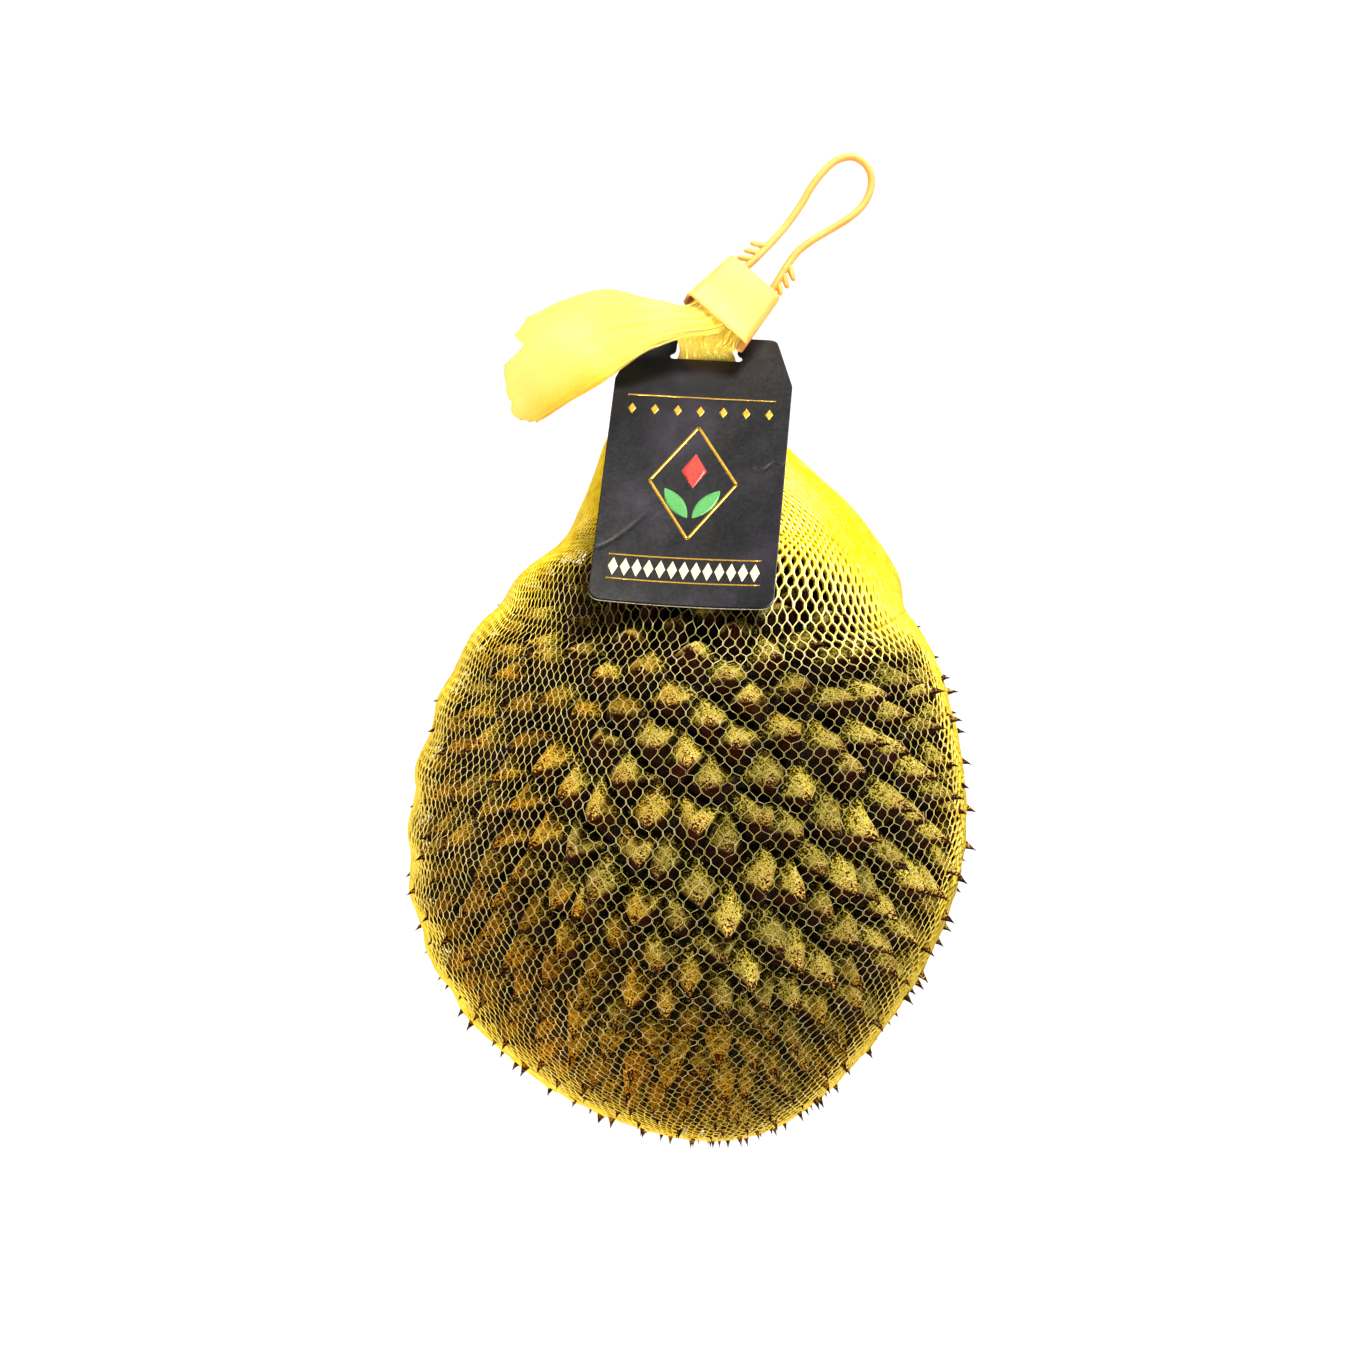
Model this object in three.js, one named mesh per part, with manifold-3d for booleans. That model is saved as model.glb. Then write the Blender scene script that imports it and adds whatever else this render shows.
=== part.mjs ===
// A whole durian lying on its side in its knitted carrying net. The net is gathered past the stem into a
// neck, the neck is threaded through a card tag and folded over the end of a moulded loop handle, and a
// collar pushed down over the fold clamps it. The loose end of the net comes back out as a tail.
//
// Millimetres, +Z up. The fruit's stem points along +Y, and the floor is at z = 0.

import * as THREE from 'three';
import { ConvexHull } from 'three/addons/math/ConvexHull.js';
import { mergeVertices } from 'three/addons/utils/BufferGeometryUtils.js';
import Module from 'manifold-3d';

const wasm = await Module();
wasm.setup();

const DEG = Math.PI / 180;
const UP = new THREE.Vector3(0, 0, 1);

// Husk: half sizes at the creases between the spines
const HUSK_HALF = new THREE.Vector3(86.8, 105, 85);
const BLOSSOM_TAPER = 0.2;
const LOBES = 5;
const LOBE_DEPTH = 0.018;
const FRUIT_TILT = 6 * DEG;
const FRUIT_HEIGHT = 94.6;

// Spines
const SPINES = 660;
const SPINE_LENGTH = 14.5;
const SPINE_CROWDING = 1.3;
const SPINE_JITTER = 0.03;
const SPINE_LEAN = 0.3;
const GOLDEN_ANGLE = Math.PI * (3 - Math.sqrt(5));

// Stem stub
const STEM_RADIUS = 8.5;
const STEM_END = 139;

// Net over the fruit
const NET_LEVEL = 0.685;
const NET_GROUPS = 222;
const STRAND_HALF_WIDTH = 0.6;
const STRAND_THICKNESS = 1.3;
const NET_OPENS_AT = 0.74;
const WELD_DIRECTION = new THREE.Vector3(0.08, -0.88, -0.46).normalize();
const WELD_RADIUS = 2.6;

// Gathered neck
const NECK_POINTS = 28;
const NECK_WALL = 1.3;

// Clip
const MOUTH_CENTRE = new THREE.Vector3(7.9, 179, 122.5);
const CLIP_HEADING = 49 * DEG;
const CLIP_DROOP = 12 * DEG;
const COLLAR_LENGTH = 22;
const COLLAR_MOUTH = { width: 27.5, depth: 14 };
const COLLAR_TOP = { width: 23, depth: 12.5 };
const COLLAR_WALL = 1.2;
const COLLAR_CORNER = 2.6;
const ROD_RADIUS = 1.35;
const FOLD_AT = 13;
const FOLD_RADIUS = 3.2;

// Tag
const TAG_WIDTH = 62.5;
const TAG_ABOVE_SLOT = 10.5;
const TAG_BELOW_SLOT = 105.5;
const TAG_THICKNESS = 0.7;
const TAG_SLOT_CENTRE = new THREE.Vector3(5, 166.4, 115.4);
const TAG_LEAN = 6 * DEG;
const TAG_SLOPE = 32.8 * DEG;
const TAG_ROLL = 5 * DEG;

const CLEARANCE = 0.35;

// Shared tools

function randomFrom(seed) {
  let state = seed >>> 0;
  return () => {
    state = (Math.imul(state, 1664525) + 1013904223) >>> 0;
    return state / 4294967296;
  };
}

function geometryFrom(points, triangles) {
  const geometry = new THREE.BufferGeometry();
  const positions = new Float32Array(points.length * 3);
  points.forEach((p, i) => p.toArray(positions, i * 3));
  geometry.setAttribute('position', new THREE.BufferAttribute(positions, 3));
  geometry.setIndex(triangles.flat());
  return geometry;
}

function solidFrom(geometry) {
  const bare = geometry.clone();
  bare.deleteAttribute('normal');
  bare.deleteAttribute('uv');
  const merged = mergeVertices(bare, 1e-4);
  return new wasm.Manifold(new wasm.Mesh({
    numProp: 3,
    vertProperties: new Float32Array(merged.attributes.position.array),
    triVerts: new Uint32Array(merged.index.array),
  }));
}

function geometryOf(solid) {
  const mesh = solid.getMesh();
  const geometry = new THREE.BufferGeometry();
  geometry.setAttribute('position', new THREE.BufferAttribute(new Float32Array(mesh.vertProperties), 3));
  geometry.setIndex(new THREE.BufferAttribute(new Uint32Array(mesh.triVerts), 1));
  geometry.computeVertexNormals();
  return geometry;
}

// Joins rings of equal point counts into one closed body, with a point at each end.
function loft(rings, firstPoint, lastPoint) {
  const count = rings[0].length;
  const points = [...rings.flat(), firstPoint, lastPoint];
  const first = points.length - 2;
  const last = points.length - 1;
  const triangles = [];
  for (let j = 0; j < count; j++) {
    const k = (j + 1) % count;
    const endRing = (rings.length - 1) * count;
    triangles.push([first, k, j], [last, endRing + j, endRing + k]);
    for (let i = 0; i + 1 < rings.length; i++) {
      const here = i * count;
      const there = here + count;
      triangles.push([here + j, here + k, there + k], [here + j, there + k, there + j]);
    }
  }
  return geometryFrom(points, triangles);
}

// Across and down directions of a band that travels with this heading and pitch
function bandFrame(heading, pitch) {
  const along = new THREE.Vector3(
    Math.cos(heading) * Math.cos(pitch), Math.sin(heading) * Math.cos(pitch), Math.sin(pitch));
  const across = new THREE.Vector3(Math.sin(heading), -Math.cos(heading), 0);
  return { along, across, down: along.clone().cross(across) };
}

// Fruit

// A point of the husk at crease level, in the direction of a unit vector
function huskPoint(direction) {
  const t = direction.y;
  const around = Math.atan2(direction.x, direction.z);
  const lobe = 1 + LOBE_DEPTH * Math.cos(LOBES * around + 0.6) * (1 - t * t);
  const taper = t < 0 ? 1 - BLOSSOM_TAPER * t * t : 1;
  const bend = t < 0 ? 18 * t * t * t * t + 9 * t : 5 * t;
  return new THREE.Vector3(
    HUSK_HALF.x * direction.x * taper * lobe + bend,
    HUSK_HALF.y * t,
    HUSK_HALF.z * direction.z * taper * lobe);
}

function huskNormal(direction) {
  return direction.clone().divide(HUSK_HALF).normalize();
}

// Spines are shorter towards both ends of the fruit.
function spineLength(direction) {
  const t = direction.y;
  const shortening = t < 0 ? 0.3 * t * t * t * t : 0.34 * t * t * t * t;
  return SPINE_LENGTH * (1 - shortening);
}

// Directions over the fruit: the stem's place first, then a golden-angle spiral that crowds towards the
// blossom end
function spiralDirections(count, spread) {
  const random = randomFrom(26);
  const directions = [new THREE.Vector3(0, 1, 0)];
  for (let i = 1; i < count; i++) {
    const share = 1 - (i + 1.2) / (count + 1.2);
    const t = 2 * share ** SPINE_CROWDING - 1;
    const radius = Math.sqrt(1 - t * t);
    const angle = i * GOLDEN_ANGLE;
    const jitter = () => (random() * 2 - 1) * spread;
    directions.push(new THREE.Vector3(
      radius * Math.sin(angle) + jitter(), t + jitter(), radius * Math.cos(angle) + jitter()).normalize());
  }
  return directions;
}

// Where the creases run: corners are the directions where three creases meet, and rings list the corners
// around each spine.
function creasePattern(directions) {
  const hull = new ConvexHull().setFromPoints(directions);
  const indexOf = new Map(directions.map((d, i) => [d, i]));
  const corners = [];
  const faceAfter = new Map();
  for (const face of hull.faces) {
    const ids = [];
    let edge = face.edge;
    do {
      ids.push(indexOf.get(edge.head().point));
      edge = edge.next;
    } while (edge !== face.edge);
    const corner = { direction: face.normal.clone().normalize(), spines: ids };
    corners.push(corner);
    ids.forEach((id, k) => faceAfter.set(id + '>' + ids[(k + 1) % 3], corners.length - 1));
  }
  const rings = directions.map(() => null);
  corners.forEach((corner, start) => corner.spines.forEach((spine) => {
    if (rings[spine]) return;
    const ring = [];
    let at = start;
    do {
      ring.push(at);
      const ids = corners[at].spines;
      const before = ids[(ids.indexOf(spine) + 2) % 3];
      at = faceAfter.get(spine + '>' + before);
    } while (at !== start);
    rings[spine] = ring;
  }));
  return { corners, rings };
}

function stem() {
  const flare = STEM_RADIUS * 1.5;
  const foot = HUSK_HALF.y - 8;
  const profile = [
    [0, foot], [flare, foot], [flare, foot + 8], [STEM_RADIUS + 0.6, foot + 13],
    [STEM_RADIUS, STEM_END - 16], [STEM_RADIUS + 1.3, STEM_END - 9], [STEM_RADIUS - 0.2, STEM_END - 4],
    [STEM_RADIUS - 0.6, STEM_END], [0, STEM_END],
  ].map(([r, y]) => new THREE.Vector2(r, y));
  const geometry = new THREE.LatheGeometry(profile, 14);
  geometry.translate(5, 0, 0);
  return solidFrom(geometry);
}

function fruit(directions, pattern) {
  const random = randomFrom(719);
  const points = pattern.corners.map((corner) => huskPoint(corner.direction));
  const triangles = [];
  directions.forEach((direction, spine) => {
    const normal = huskNormal(direction);
    const foot = huskPoint(direction);
    const length = spine === 0 ? 1 : spineLength(direction) * (0.88 + 0.24 * random());
    const ring = pattern.rings[spine];
    const reach = ring.reduce((sum, corner) => sum + points[corner].distanceTo(foot), 0) / ring.length;
    const lean = new THREE.Vector3(random() * 2 - 1, random() - 1.4, random() * 2 - 1)
      .multiplyScalar(SPINE_LEAN * reach);
    lean.addScaledVector(normal, length - lean.dot(normal));
    const tip = points.push(foot.clone().add(lean)) - 1;
    ring.forEach((corner, k) => triangles.push([tip, corner, ring[(k + 1) % ring.length]]));
  });
  return solidFrom(geometryFrom(points, triangles)).add(stem());
}

// Net over the fruit: strands along creases, so that every few neighbouring spines stand through one mesh

// The mesh that each spine stands through, or -1 past the net's open end
function meshOfSpines(directions) {
  const middles = spiralDirections(NET_GROUPS, 0);
  return directions.map((direction) => {
    if (direction.y > NET_OPENS_AT) return -1;
    const closeness = middles.map((middle) => middle.dot(direction));
    return closeness.indexOf(Math.max(...closeness));
  });
}

function netOverFruit(directions, pattern, meshes) {
  const cellOf = (spine) => meshes[spine];
  const points = [];
  const ridges = new Map();
  const insets = new Map();
  const levelPoint = (direction, extra) => huskPoint(direction)
    .addScaledVector(huskNormal(direction), NET_LEVEL * spineLength(direction) + extra);
  pattern.corners.forEach((corner, at) => {
    const cells = [...new Set(corner.spines.map(cellOf))];
    if (cells.length === 1) return;
    ridges.set(at, points.push(levelPoint(corner.direction, STRAND_THICKNESS / 2)) - 1);
    const base = levelPoint(corner.direction, -STRAND_THICKNESS / 2);
    const reach = STRAND_HALF_WIDTH / Math.sin(cells.length === 3 ? 60 * DEG : 75 * DEG);
    cells.forEach((cell) => {
      const members = corner.spines.filter((spine) => cellOf(spine) === cell);
      const towards = new THREE.Vector3();
      members.forEach((spine) => towards.add(levelPoint(directions[spine], 0)));
      towards.divideScalar(members.length).sub(base);
      const normal = huskNormal(corner.direction);
      towards.addScaledVector(normal, -towards.dot(normal)).setLength(reach);
      insets.set(at + ':' + cell, points.push(base.clone().add(towards)) - 1);
    });
  });
  const triangles = [];
  pattern.rings.forEach((ring, spine) => ring.forEach((corner, k) => {
    const next = ring[(k + 1) % ring.length];
    const shared = pattern.corners[corner].spines.filter((s) => pattern.corners[next].spines.includes(s));
    const other = shared.find((s) => s !== spine);
    const [mine, theirs] = [cellOf(spine), cellOf(other)];
    if (mine === theirs) return;
    const [a, b] = [insets.get(corner + ':' + mine), insets.get(next + ':' + mine)];
    const [ridgeA, ridgeB] = [ridges.get(corner), ridges.get(next)];
    triangles.push([a, ridgeB, b], [a, ridgeA, ridgeB]);
    if (spine < other) {
      const [c, d] = [insets.get(corner + ':' + theirs), insets.get(next + ':' + theirs)];
      triangles.push([a, d, c], [a, b, d]);
    }
  }));
  pattern.corners.forEach((corner, at) => {
    const cells = corner.spines.map(cellOf);
    if (new Set(cells).size === 3) {
      const [a, b, c] = cells.map((cell) => insets.get(at + ':' + cell));
      triangles.push([a, c, b]);
    }
  });
  return solidFrom(geometryFrom(points, triangles));
}

// The bottom of the sleeve, drawn together and welded into a small button where three meshes meet
function netWeld(pattern, meshes) {
  const meetings = pattern.corners.filter((corner) => new Set(corner.spines.map((s) => meshes[s])).size === 3);
  const nearest = meetings.reduce((best, corner) => (
    corner.direction.dot(WELD_DIRECTION) > best.direction.dot(WELD_DIRECTION) ? corner : best));
  const profile = [
    [0, -1.6], [WELD_RADIUS * 0.7, -1.6], [WELD_RADIUS, 0], [WELD_RADIUS * 0.55, 1.6],
    [WELD_RADIUS * 0.5, 3.4], [WELD_RADIUS * 0.8, 4.6], [0, 4.9],
  ].map(([r, y]) => new THREE.Vector2(r, y));
  const geometry = new THREE.LatheGeometry(profile, 8);
  const normal = huskNormal(nearest.direction);
  geometry.applyQuaternion(new THREE.Quaternion().setFromUnitVectors(new THREE.Vector3(0, 1, 0), normal));
  const place = huskPoint(nearest.direction)
    .addScaledVector(normal, NET_LEVEL * spineLength(nearest.direction));
  geometry.translate(place.x, place.y, place.z);
  return solidFrom(geometry);
}

// Gathered neck, fold and tail

// One pleated ring of the gathered net: half width across, half depth, and pleat depth as a share of both
function netRing({ at, heading, pitch, half, depth, pleat }) {
  const { across, down } = bandFrame(heading, pitch);
  return Array.from({ length: NECK_POINTS }, (_, j) => {
    const angle = (j / NECK_POINTS) * 2 * Math.PI;
    const swell = 1 + pleat * (j % 2 ? -1 : 1);
    return at.clone()
      .addScaledVector(across, half * swell * Math.cos(angle))
      .addScaledVector(down, depth * swell * Math.sin(angle));
  });
}

// The tent of net from the fruit's shoulder to the tag's slot, by each ring's top and bottom points [y, z]
function coneStations() {
  return [
    { x: 5, half: 70.5, top: [97, 156], bottom: [84, 23.5], pleat: 0.008 },
    { x: 9, half: 57.5, top: [106, 150.5], bottom: [100, 38.5], pleat: 0.012 },
    { x: 8.5, half: 48, top: [116, 143.5], bottom: [114, 60], pleat: 0.018 },
    { x: 4.5, half: 39, top: [127, 136.5], bottom: [127, 76], pleat: 0.025 },
    { x: 0, half: 28.5, top: [142, 127], bottom: [142, 90], pleat: 0.035 },
    { x: 1, half: 20, top: [153, 120.5], bottom: [154, 99], pleat: 0.045 },
    { x: 3.5, half: 13.5, top: [161, 115.6], bottom: [163, 106.5], pleat: 0.05 },
    { x: 5.3, half: 9.4, top: [168.2, 114.5], bottom: [170.9, 111.9], pleat: 0.05, turn: 84 },
    { x: 4.4, half: 9.8, top: [171.8, 118.9], bottom: [174.2, 115.6], pleat: 0.05, turn: 70 },
  ].map(({ x, half, top, bottom, pleat, turn = 90 }) => {
    const depth = Math.hypot(top[0] - bottom[0], top[1] - bottom[1]) / 2;
    return {
      at: new THREE.Vector3(x, (top[0] + bottom[0]) / 2, (top[1] + bottom[1]) / 2),
      heading: turn * DEG, pitch: Math.atan2(bottom[0] - top[0], top[1] - bottom[1]), half, depth, pleat,
    };
  });
}

// Into the collar below its middle, over the fold and back out above it
function foldStations() {
  const { along, down } = bandFrame(CLIP_HEADING, -CLIP_DROOP);
  const place = (s, below) => MOUTH_CENTRE.clone().addScaledVector(along, s).addScaledVector(down, below);
  const lower = [
    { s: -2.5, half: 10.4, depth: 1.9 }, { s: 3, half: 9.4, depth: 1.8 }, { s: 8, half: 7.6, depth: 1.5 },
  ].map((b) => ({ ...b, at: place(b.s, FOLD_RADIUS), pitch: -CLIP_DROOP }));
  const turn = [0, 45, 90, 135, 180].map((degrees) => degrees * DEG).map((angle) => ({
    at: place(FOLD_AT + FOLD_RADIUS * (Math.sin(angle) - 1), FOLD_RADIUS * Math.cos(angle)),
    pitch: -CLIP_DROOP + angle, half: 5.8, depth: 1.4,
  }));
  const upper = [
    { s: 7.5, half: 7.6, depth: 1.5 }, { s: 3, half: 9.4, depth: 1.8 }, { s: -2.5, half: 10, depth: 2.1 },
  ].map((b) => ({ ...b, at: place(b.s, -FOLD_RADIUS), pitch: 180 * DEG - CLIP_DROOP }));
  return [...lower, ...turn, ...upper].map((s) => ({ heading: CLIP_HEADING, pleat: 0.05, ...s }));
}

// The loose end swings out to the left of the collar, widens and droops.
function tailStations() {
  return [
    { x: -3.5, y: 179.8, z: 127, turn: 207, dip: 0, half: 8.6, depth: 2.6, pleat: 0.1 },
    { x: -13, y: 178.4, z: 128.4, turn: 188, dip: 2, half: 9.4, depth: 3, pleat: 0.13 },
    { x: -26, y: 177, z: 126, turn: 190, dip: 20, half: 13.7, depth: 3.4, pleat: 0.17 },
    { x: -39, y: 173, z: 116, turn: 202, dip: 38, half: 16.2, depth: 3.8, pleat: 0.2 },
    { x: -52, y: 167.5, z: 102, turn: 207, dip: 45, half: 16.6, depth: 4, pleat: 0.2 },
    { x: -63.5, y: 162, z: 88, turn: 208, dip: 47, half: 17, depth: 3.8, pleat: 0.2 },
  ].map((s) => ({
    ...s, at: new THREE.Vector3(s.x, s.y, s.z), heading: (s.turn - 180) * DEG, pitch: (180 + s.dip) * DEG,
  }));
}

// How far the torn end of the tail reaches past its last ring, from -1 at its upper edge to 1 at its lower
function tornReach(side) {
  return side < -0.35 ? 0 : 6.5 + 1.6 * Math.sin(9 * side);
}

// One body from the inside of the tent out round its rim, along the neck and on to the end of the tail
function gatheredNet() {
  const cone = coneStations();
  const closed = 5;
  const hollow = cone.slice(0, closed).reverse().map((s) => netRing({
    ...s, half: s.half - NECK_WALL, depth: s.depth - NECK_WALL, pleat: 0,
  }));
  const stations = [...cone, ...foldStations(), ...tailStations()];
  const rings = [...hollow, ...stations.map(netRing)];
  const end = stations[stations.length - 1];
  const { along } = bandFrame(end.heading, end.pitch);
  rings[rings.length - 1].forEach((point, j) => (
    point.addScaledVector(along, tornReach(Math.cos((j / NECK_POINTS) * 2 * Math.PI)))));
  return solidFrom(loft(rings, cone[closed].at, end.at.clone().addScaledVector(along, 2)));
}

// Clip: a loop handle with barbed legs, and the collar that slides down over the legs

// A closed rod path in the clip's own frame: sideways offset w, and distance s from the collar's mouth
function loopPath() {
  const bar = FOLD_AT - FOLD_RADIUS;
  return [
    [1, bar], [6.6, bar + 0.2], [8.3, bar + 2.5], [8.1, 18], [7, 25], [5.6, 33], [5, 40], [6.2, 47],
    [8.8, 55.5], [10.9, 63.5], [11.2, 70], [9.4, 76], [5.6, 80.4], [1, 81.6], [-3.3, 80.2], [-6.3, 75.5],
    [-7.2, 69.5], [-6.7, 62], [-5.2, 54], [-4.3, 46], [-4.1, 38], [-4.4, 30], [-4.9, 24], [-6, 18],
    [-6.7, bar + 2.5], [-5, bar + 0.2],
  ];
}

function clipPoint(w, s, below) {
  const { along, across, down } = bandFrame(CLIP_HEADING, -CLIP_DROOP);
  return MOUTH_CENTRE.clone()
    .addScaledVector(across, w).addScaledVector(along, s).addScaledVector(down, below);
}

function rod(from, to, radius) {
  const axis = to.clone().sub(from);
  const geometry = new THREE.CylinderGeometry(radius * 0.75, radius, axis.length(), 6);
  geometry.applyQuaternion(new THREE.Quaternion().setFromUnitVectors(
    new THREE.Vector3(0, 1, 0), axis.clone().normalize()));
  const middle = from.clone().add(to).multiplyScalar(0.5);
  geometry.translate(middle.x, middle.y, middle.z);
  return solidFrom(geometry);
}

function loopRod(radius) {
  const curve = new THREE.CatmullRomCurve3(loopPath().map(([w, s]) => clipPoint(w, s, 0)), true);
  return solidFrom(new THREE.TubeGeometry(curve, 56, radius, 7, true));
}

// Barbs stand outwards and back towards the collar, so that it can't slide up again.
function loopHandle() {
  const barbs = [[1, 5.6], [-1, -4.3]].flatMap(([side, leg]) => [27, 30.6, 34.2].map((s) => (
    rod(clipPoint(leg + side * (34.2 - s) * 0.12, s, 0), clipPoint(leg + side * 5.4, s - 3.2, 0), 1.05))));
  return barbs.reduce((joined, barb) => joined.add(barb), loopRod(ROD_RADIUS));
}

// A rounded rectangle across the clip at distance s from the mouth
function collarRing({ width, depth }, s, corner) {
  const ring = [];
  for (let quarter = 0; quarter < 4; quarter++) {
    for (let step = 0; step <= 3; step++) {
      const angle = (quarter + step / 3) * 90 * DEG;
      const [sideW, sideD] = [[1, 1], [-1, 1], [-1, -1], [1, -1]][quarter];
      ring.push(clipPoint(
        sideW * (width / 2 - corner) + corner * Math.cos(angle), s,
        sideD * (depth / 2 - corner) + corner * Math.sin(angle)));
    }
  }
  return ring;
}

function collarBlock(mouth, top, from, to, corner) {
  return solidFrom(loft(
    [collarRing(mouth, from, corner), collarRing(top, to, corner)],
    clipPoint(0, from, 0), clipPoint(0, to, 0)));
}

function collar() {
  const thinner = (size) => ({ width: size.width - 2 * COLLAR_WALL, depth: size.depth - 2 * COLLAR_WALL });
  const outer = collarBlock(COLLAR_MOUTH, COLLAR_TOP, 0, COLLAR_LENGTH, COLLAR_CORNER);
  const inner = collarBlock(
    thinner(COLLAR_MOUTH), thinner(COLLAR_TOP), -0.1, COLLAR_LENGTH - COLLAR_WALL, COLLAR_CORNER - 1);
  const slot = { width: 4.6, depth: 4 };
  const slots = [7.6, -5.2].map((w) => {
    const block = collarBlock(slot, slot, COLLAR_LENGTH - 3, COLLAR_LENGTH + 1, 1);
    const { across } = bandFrame(CLIP_HEADING, -CLIP_DROOP);
    return block.translate(across.clone().multiplyScalar(w).toArray());
  });
  return outer.subtract(inner).subtract(slots[0]).subtract(slots[1]);
}

// Card tag

// Outline with v up the card from the middle of the slot's lower edge
function tagShape() {
  const half = TAG_WIDTH / 2;
  const corner = 4;
  const shape = new THREE.Shape();
  shape.moveTo(-half + corner, -TAG_BELOW_SLOT);
  shape.lineTo(half - corner, -TAG_BELOW_SLOT);
  shape.absarc(half - corner, -TAG_BELOW_SLOT + corner, corner, -Math.PI / 2, 0, false);
  shape.lineTo(half, -10);
  shape.lineTo(half - 6.2, TAG_ABOVE_SLOT - 2.2);
  shape.quadraticCurveTo(half - 7, TAG_ABOVE_SLOT, half - 9.2, TAG_ABOVE_SLOT);
  shape.lineTo(-half + 9.2, TAG_ABOVE_SLOT);
  shape.quadraticCurveTo(-half + 7, TAG_ABOVE_SLOT, -half + 6.2, TAG_ABOVE_SLOT - 2.2);
  shape.lineTo(-half, -10);
  shape.lineTo(-half, -TAG_BELOW_SLOT + corner);
  shape.absarc(-half + corner, -TAG_BELOW_SLOT + corner, corner, Math.PI, Math.PI * 1.5, false);
  const slot = new THREE.Path();
  slot.moveTo(-11.6, 0);
  slot.absarc(-11.6, 1.2, 1.2, -Math.PI / 2, -Math.PI * 1.5, true);
  slot.lineTo(-10.9, 3.4);
  slot.lineTo(-10.7, 7.6);
  slot.lineTo(10.7, 7.6);
  slot.lineTo(10.9, 3.4);
  slot.lineTo(11.6, 2.4);
  slot.absarc(11.6, 1.2, 1.2, Math.PI / 2, -Math.PI / 2, true);
  shape.holes.push(slot);
  return shape;
}

function tag() {
  const geometry = new THREE.ExtrudeGeometry(tagShape(), {
    depth: TAG_THICKNESS, bevelEnabled: false, curveSegments: 4,
  });
  const level = new THREE.Vector3(Math.cos(TAG_LEAN), -Math.sin(TAG_LEAN), 0);
  const up = new THREE.Vector3().crossVectors(UP, level)
    .multiplyScalar(Math.cos(TAG_SLOPE)).addScaledVector(UP, -Math.sin(TAG_SLOPE));
  const across = level.applyAxisAngle(up, -TAG_ROLL);
  const face = new THREE.Vector3().crossVectors(across, up);
  geometry.applyMatrix4(new THREE.Matrix4().makeBasis(across, up, face).setPosition(TAG_SLOT_CENTRE));
  return geometry;
}

// Assembly

function plastic(hex, roughness) {
  return new THREE.MeshStandardMaterial({ color: hex, roughness, metalness: 0 });
}

function add(group, name, geometry, material) {
  const mesh = new THREE.Mesh(geometry, material);
  mesh.name = name;
  group.add(mesh);
}

// Turns a solid from the upright fruit's frame to where the fruit lies.
function laidDown(solid) {
  return solid.rotate([FRUIT_TILT / DEG, 0, 0]).translate([0, 0, FRUIT_HEIGHT]);
}

const directions = spiralDirections(SPINES, SPINE_JITTER);
const pattern = creasePattern(directions);
const meshes = meshOfSpines(directions);
const floorBlock = solidFrom(new THREE.BoxGeometry(400, 400, 100).translate(0, 0, -50));
const passingRod = loopRod(ROD_RADIUS + CLEARANCE);

const durian = new THREE.Group();
add(durian, 'husk', geometryOf(laidDown(fruit(directions, pattern)).subtract(floorBlock)),
  new THREE.MeshStandardMaterial({ color: 0x6b5a1e, roughness: 0.75, metalness: 0 }));
add(durian, 'net_bag', geometryOf(laidDown(
  netOverFruit(directions, pattern, meshes).add(netWeld(pattern, meshes)))), plastic(0xe8c81e, 0.5));
add(durian, 'net_neck', geometryOf(gatheredNet().subtract(passingRod)), plastic(0xf2d94e, 0.55));
add(durian, 'clip_loop', geometryOf(loopHandle()), plastic(0xf3cf86, 0.4));
add(durian, 'clip_collar', geometryOf(collar()), plastic(0xf3cf86, 0.4));
add(durian, 'hang_tag', tag(), plastic(0x22242b, 0.45));

const bounds = new THREE.Box3().setFromObject(durian);
durian.position.set(-(bounds.min.x + bounds.max.x) / 2, -(bounds.min.y + bounds.max.y) / 2, 0);

export default durian;
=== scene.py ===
"""A whole durian lying on its side in a knitted carrying net, with a card tag and a moulded loop clip."""

import bmesh
import bpy
import numpy as np
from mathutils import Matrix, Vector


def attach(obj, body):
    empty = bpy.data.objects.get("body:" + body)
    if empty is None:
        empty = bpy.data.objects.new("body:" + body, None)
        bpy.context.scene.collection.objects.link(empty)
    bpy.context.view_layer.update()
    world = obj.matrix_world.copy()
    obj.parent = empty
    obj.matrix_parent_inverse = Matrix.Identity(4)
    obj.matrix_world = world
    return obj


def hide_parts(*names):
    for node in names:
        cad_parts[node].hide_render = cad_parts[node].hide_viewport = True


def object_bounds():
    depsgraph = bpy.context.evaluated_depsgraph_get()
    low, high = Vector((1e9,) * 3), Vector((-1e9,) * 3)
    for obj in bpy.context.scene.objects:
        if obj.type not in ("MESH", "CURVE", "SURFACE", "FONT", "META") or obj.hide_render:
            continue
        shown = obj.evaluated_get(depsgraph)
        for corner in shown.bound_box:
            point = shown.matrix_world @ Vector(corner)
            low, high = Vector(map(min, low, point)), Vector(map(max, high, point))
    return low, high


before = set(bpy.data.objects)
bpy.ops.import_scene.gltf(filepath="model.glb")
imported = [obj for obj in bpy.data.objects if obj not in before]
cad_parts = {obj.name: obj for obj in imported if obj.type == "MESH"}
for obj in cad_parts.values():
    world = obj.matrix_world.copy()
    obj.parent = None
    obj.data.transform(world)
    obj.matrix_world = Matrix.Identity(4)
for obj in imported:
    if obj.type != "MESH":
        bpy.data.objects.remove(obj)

cad_low, cad_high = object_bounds()

# The fruit. One grown husk of woody spines, olive and brown, dark and sharp at the tips, lying on its side
# with the stem towards +Y. The spines stand where the solid's stand, with hollowed flanks and hooked tips.

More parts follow.
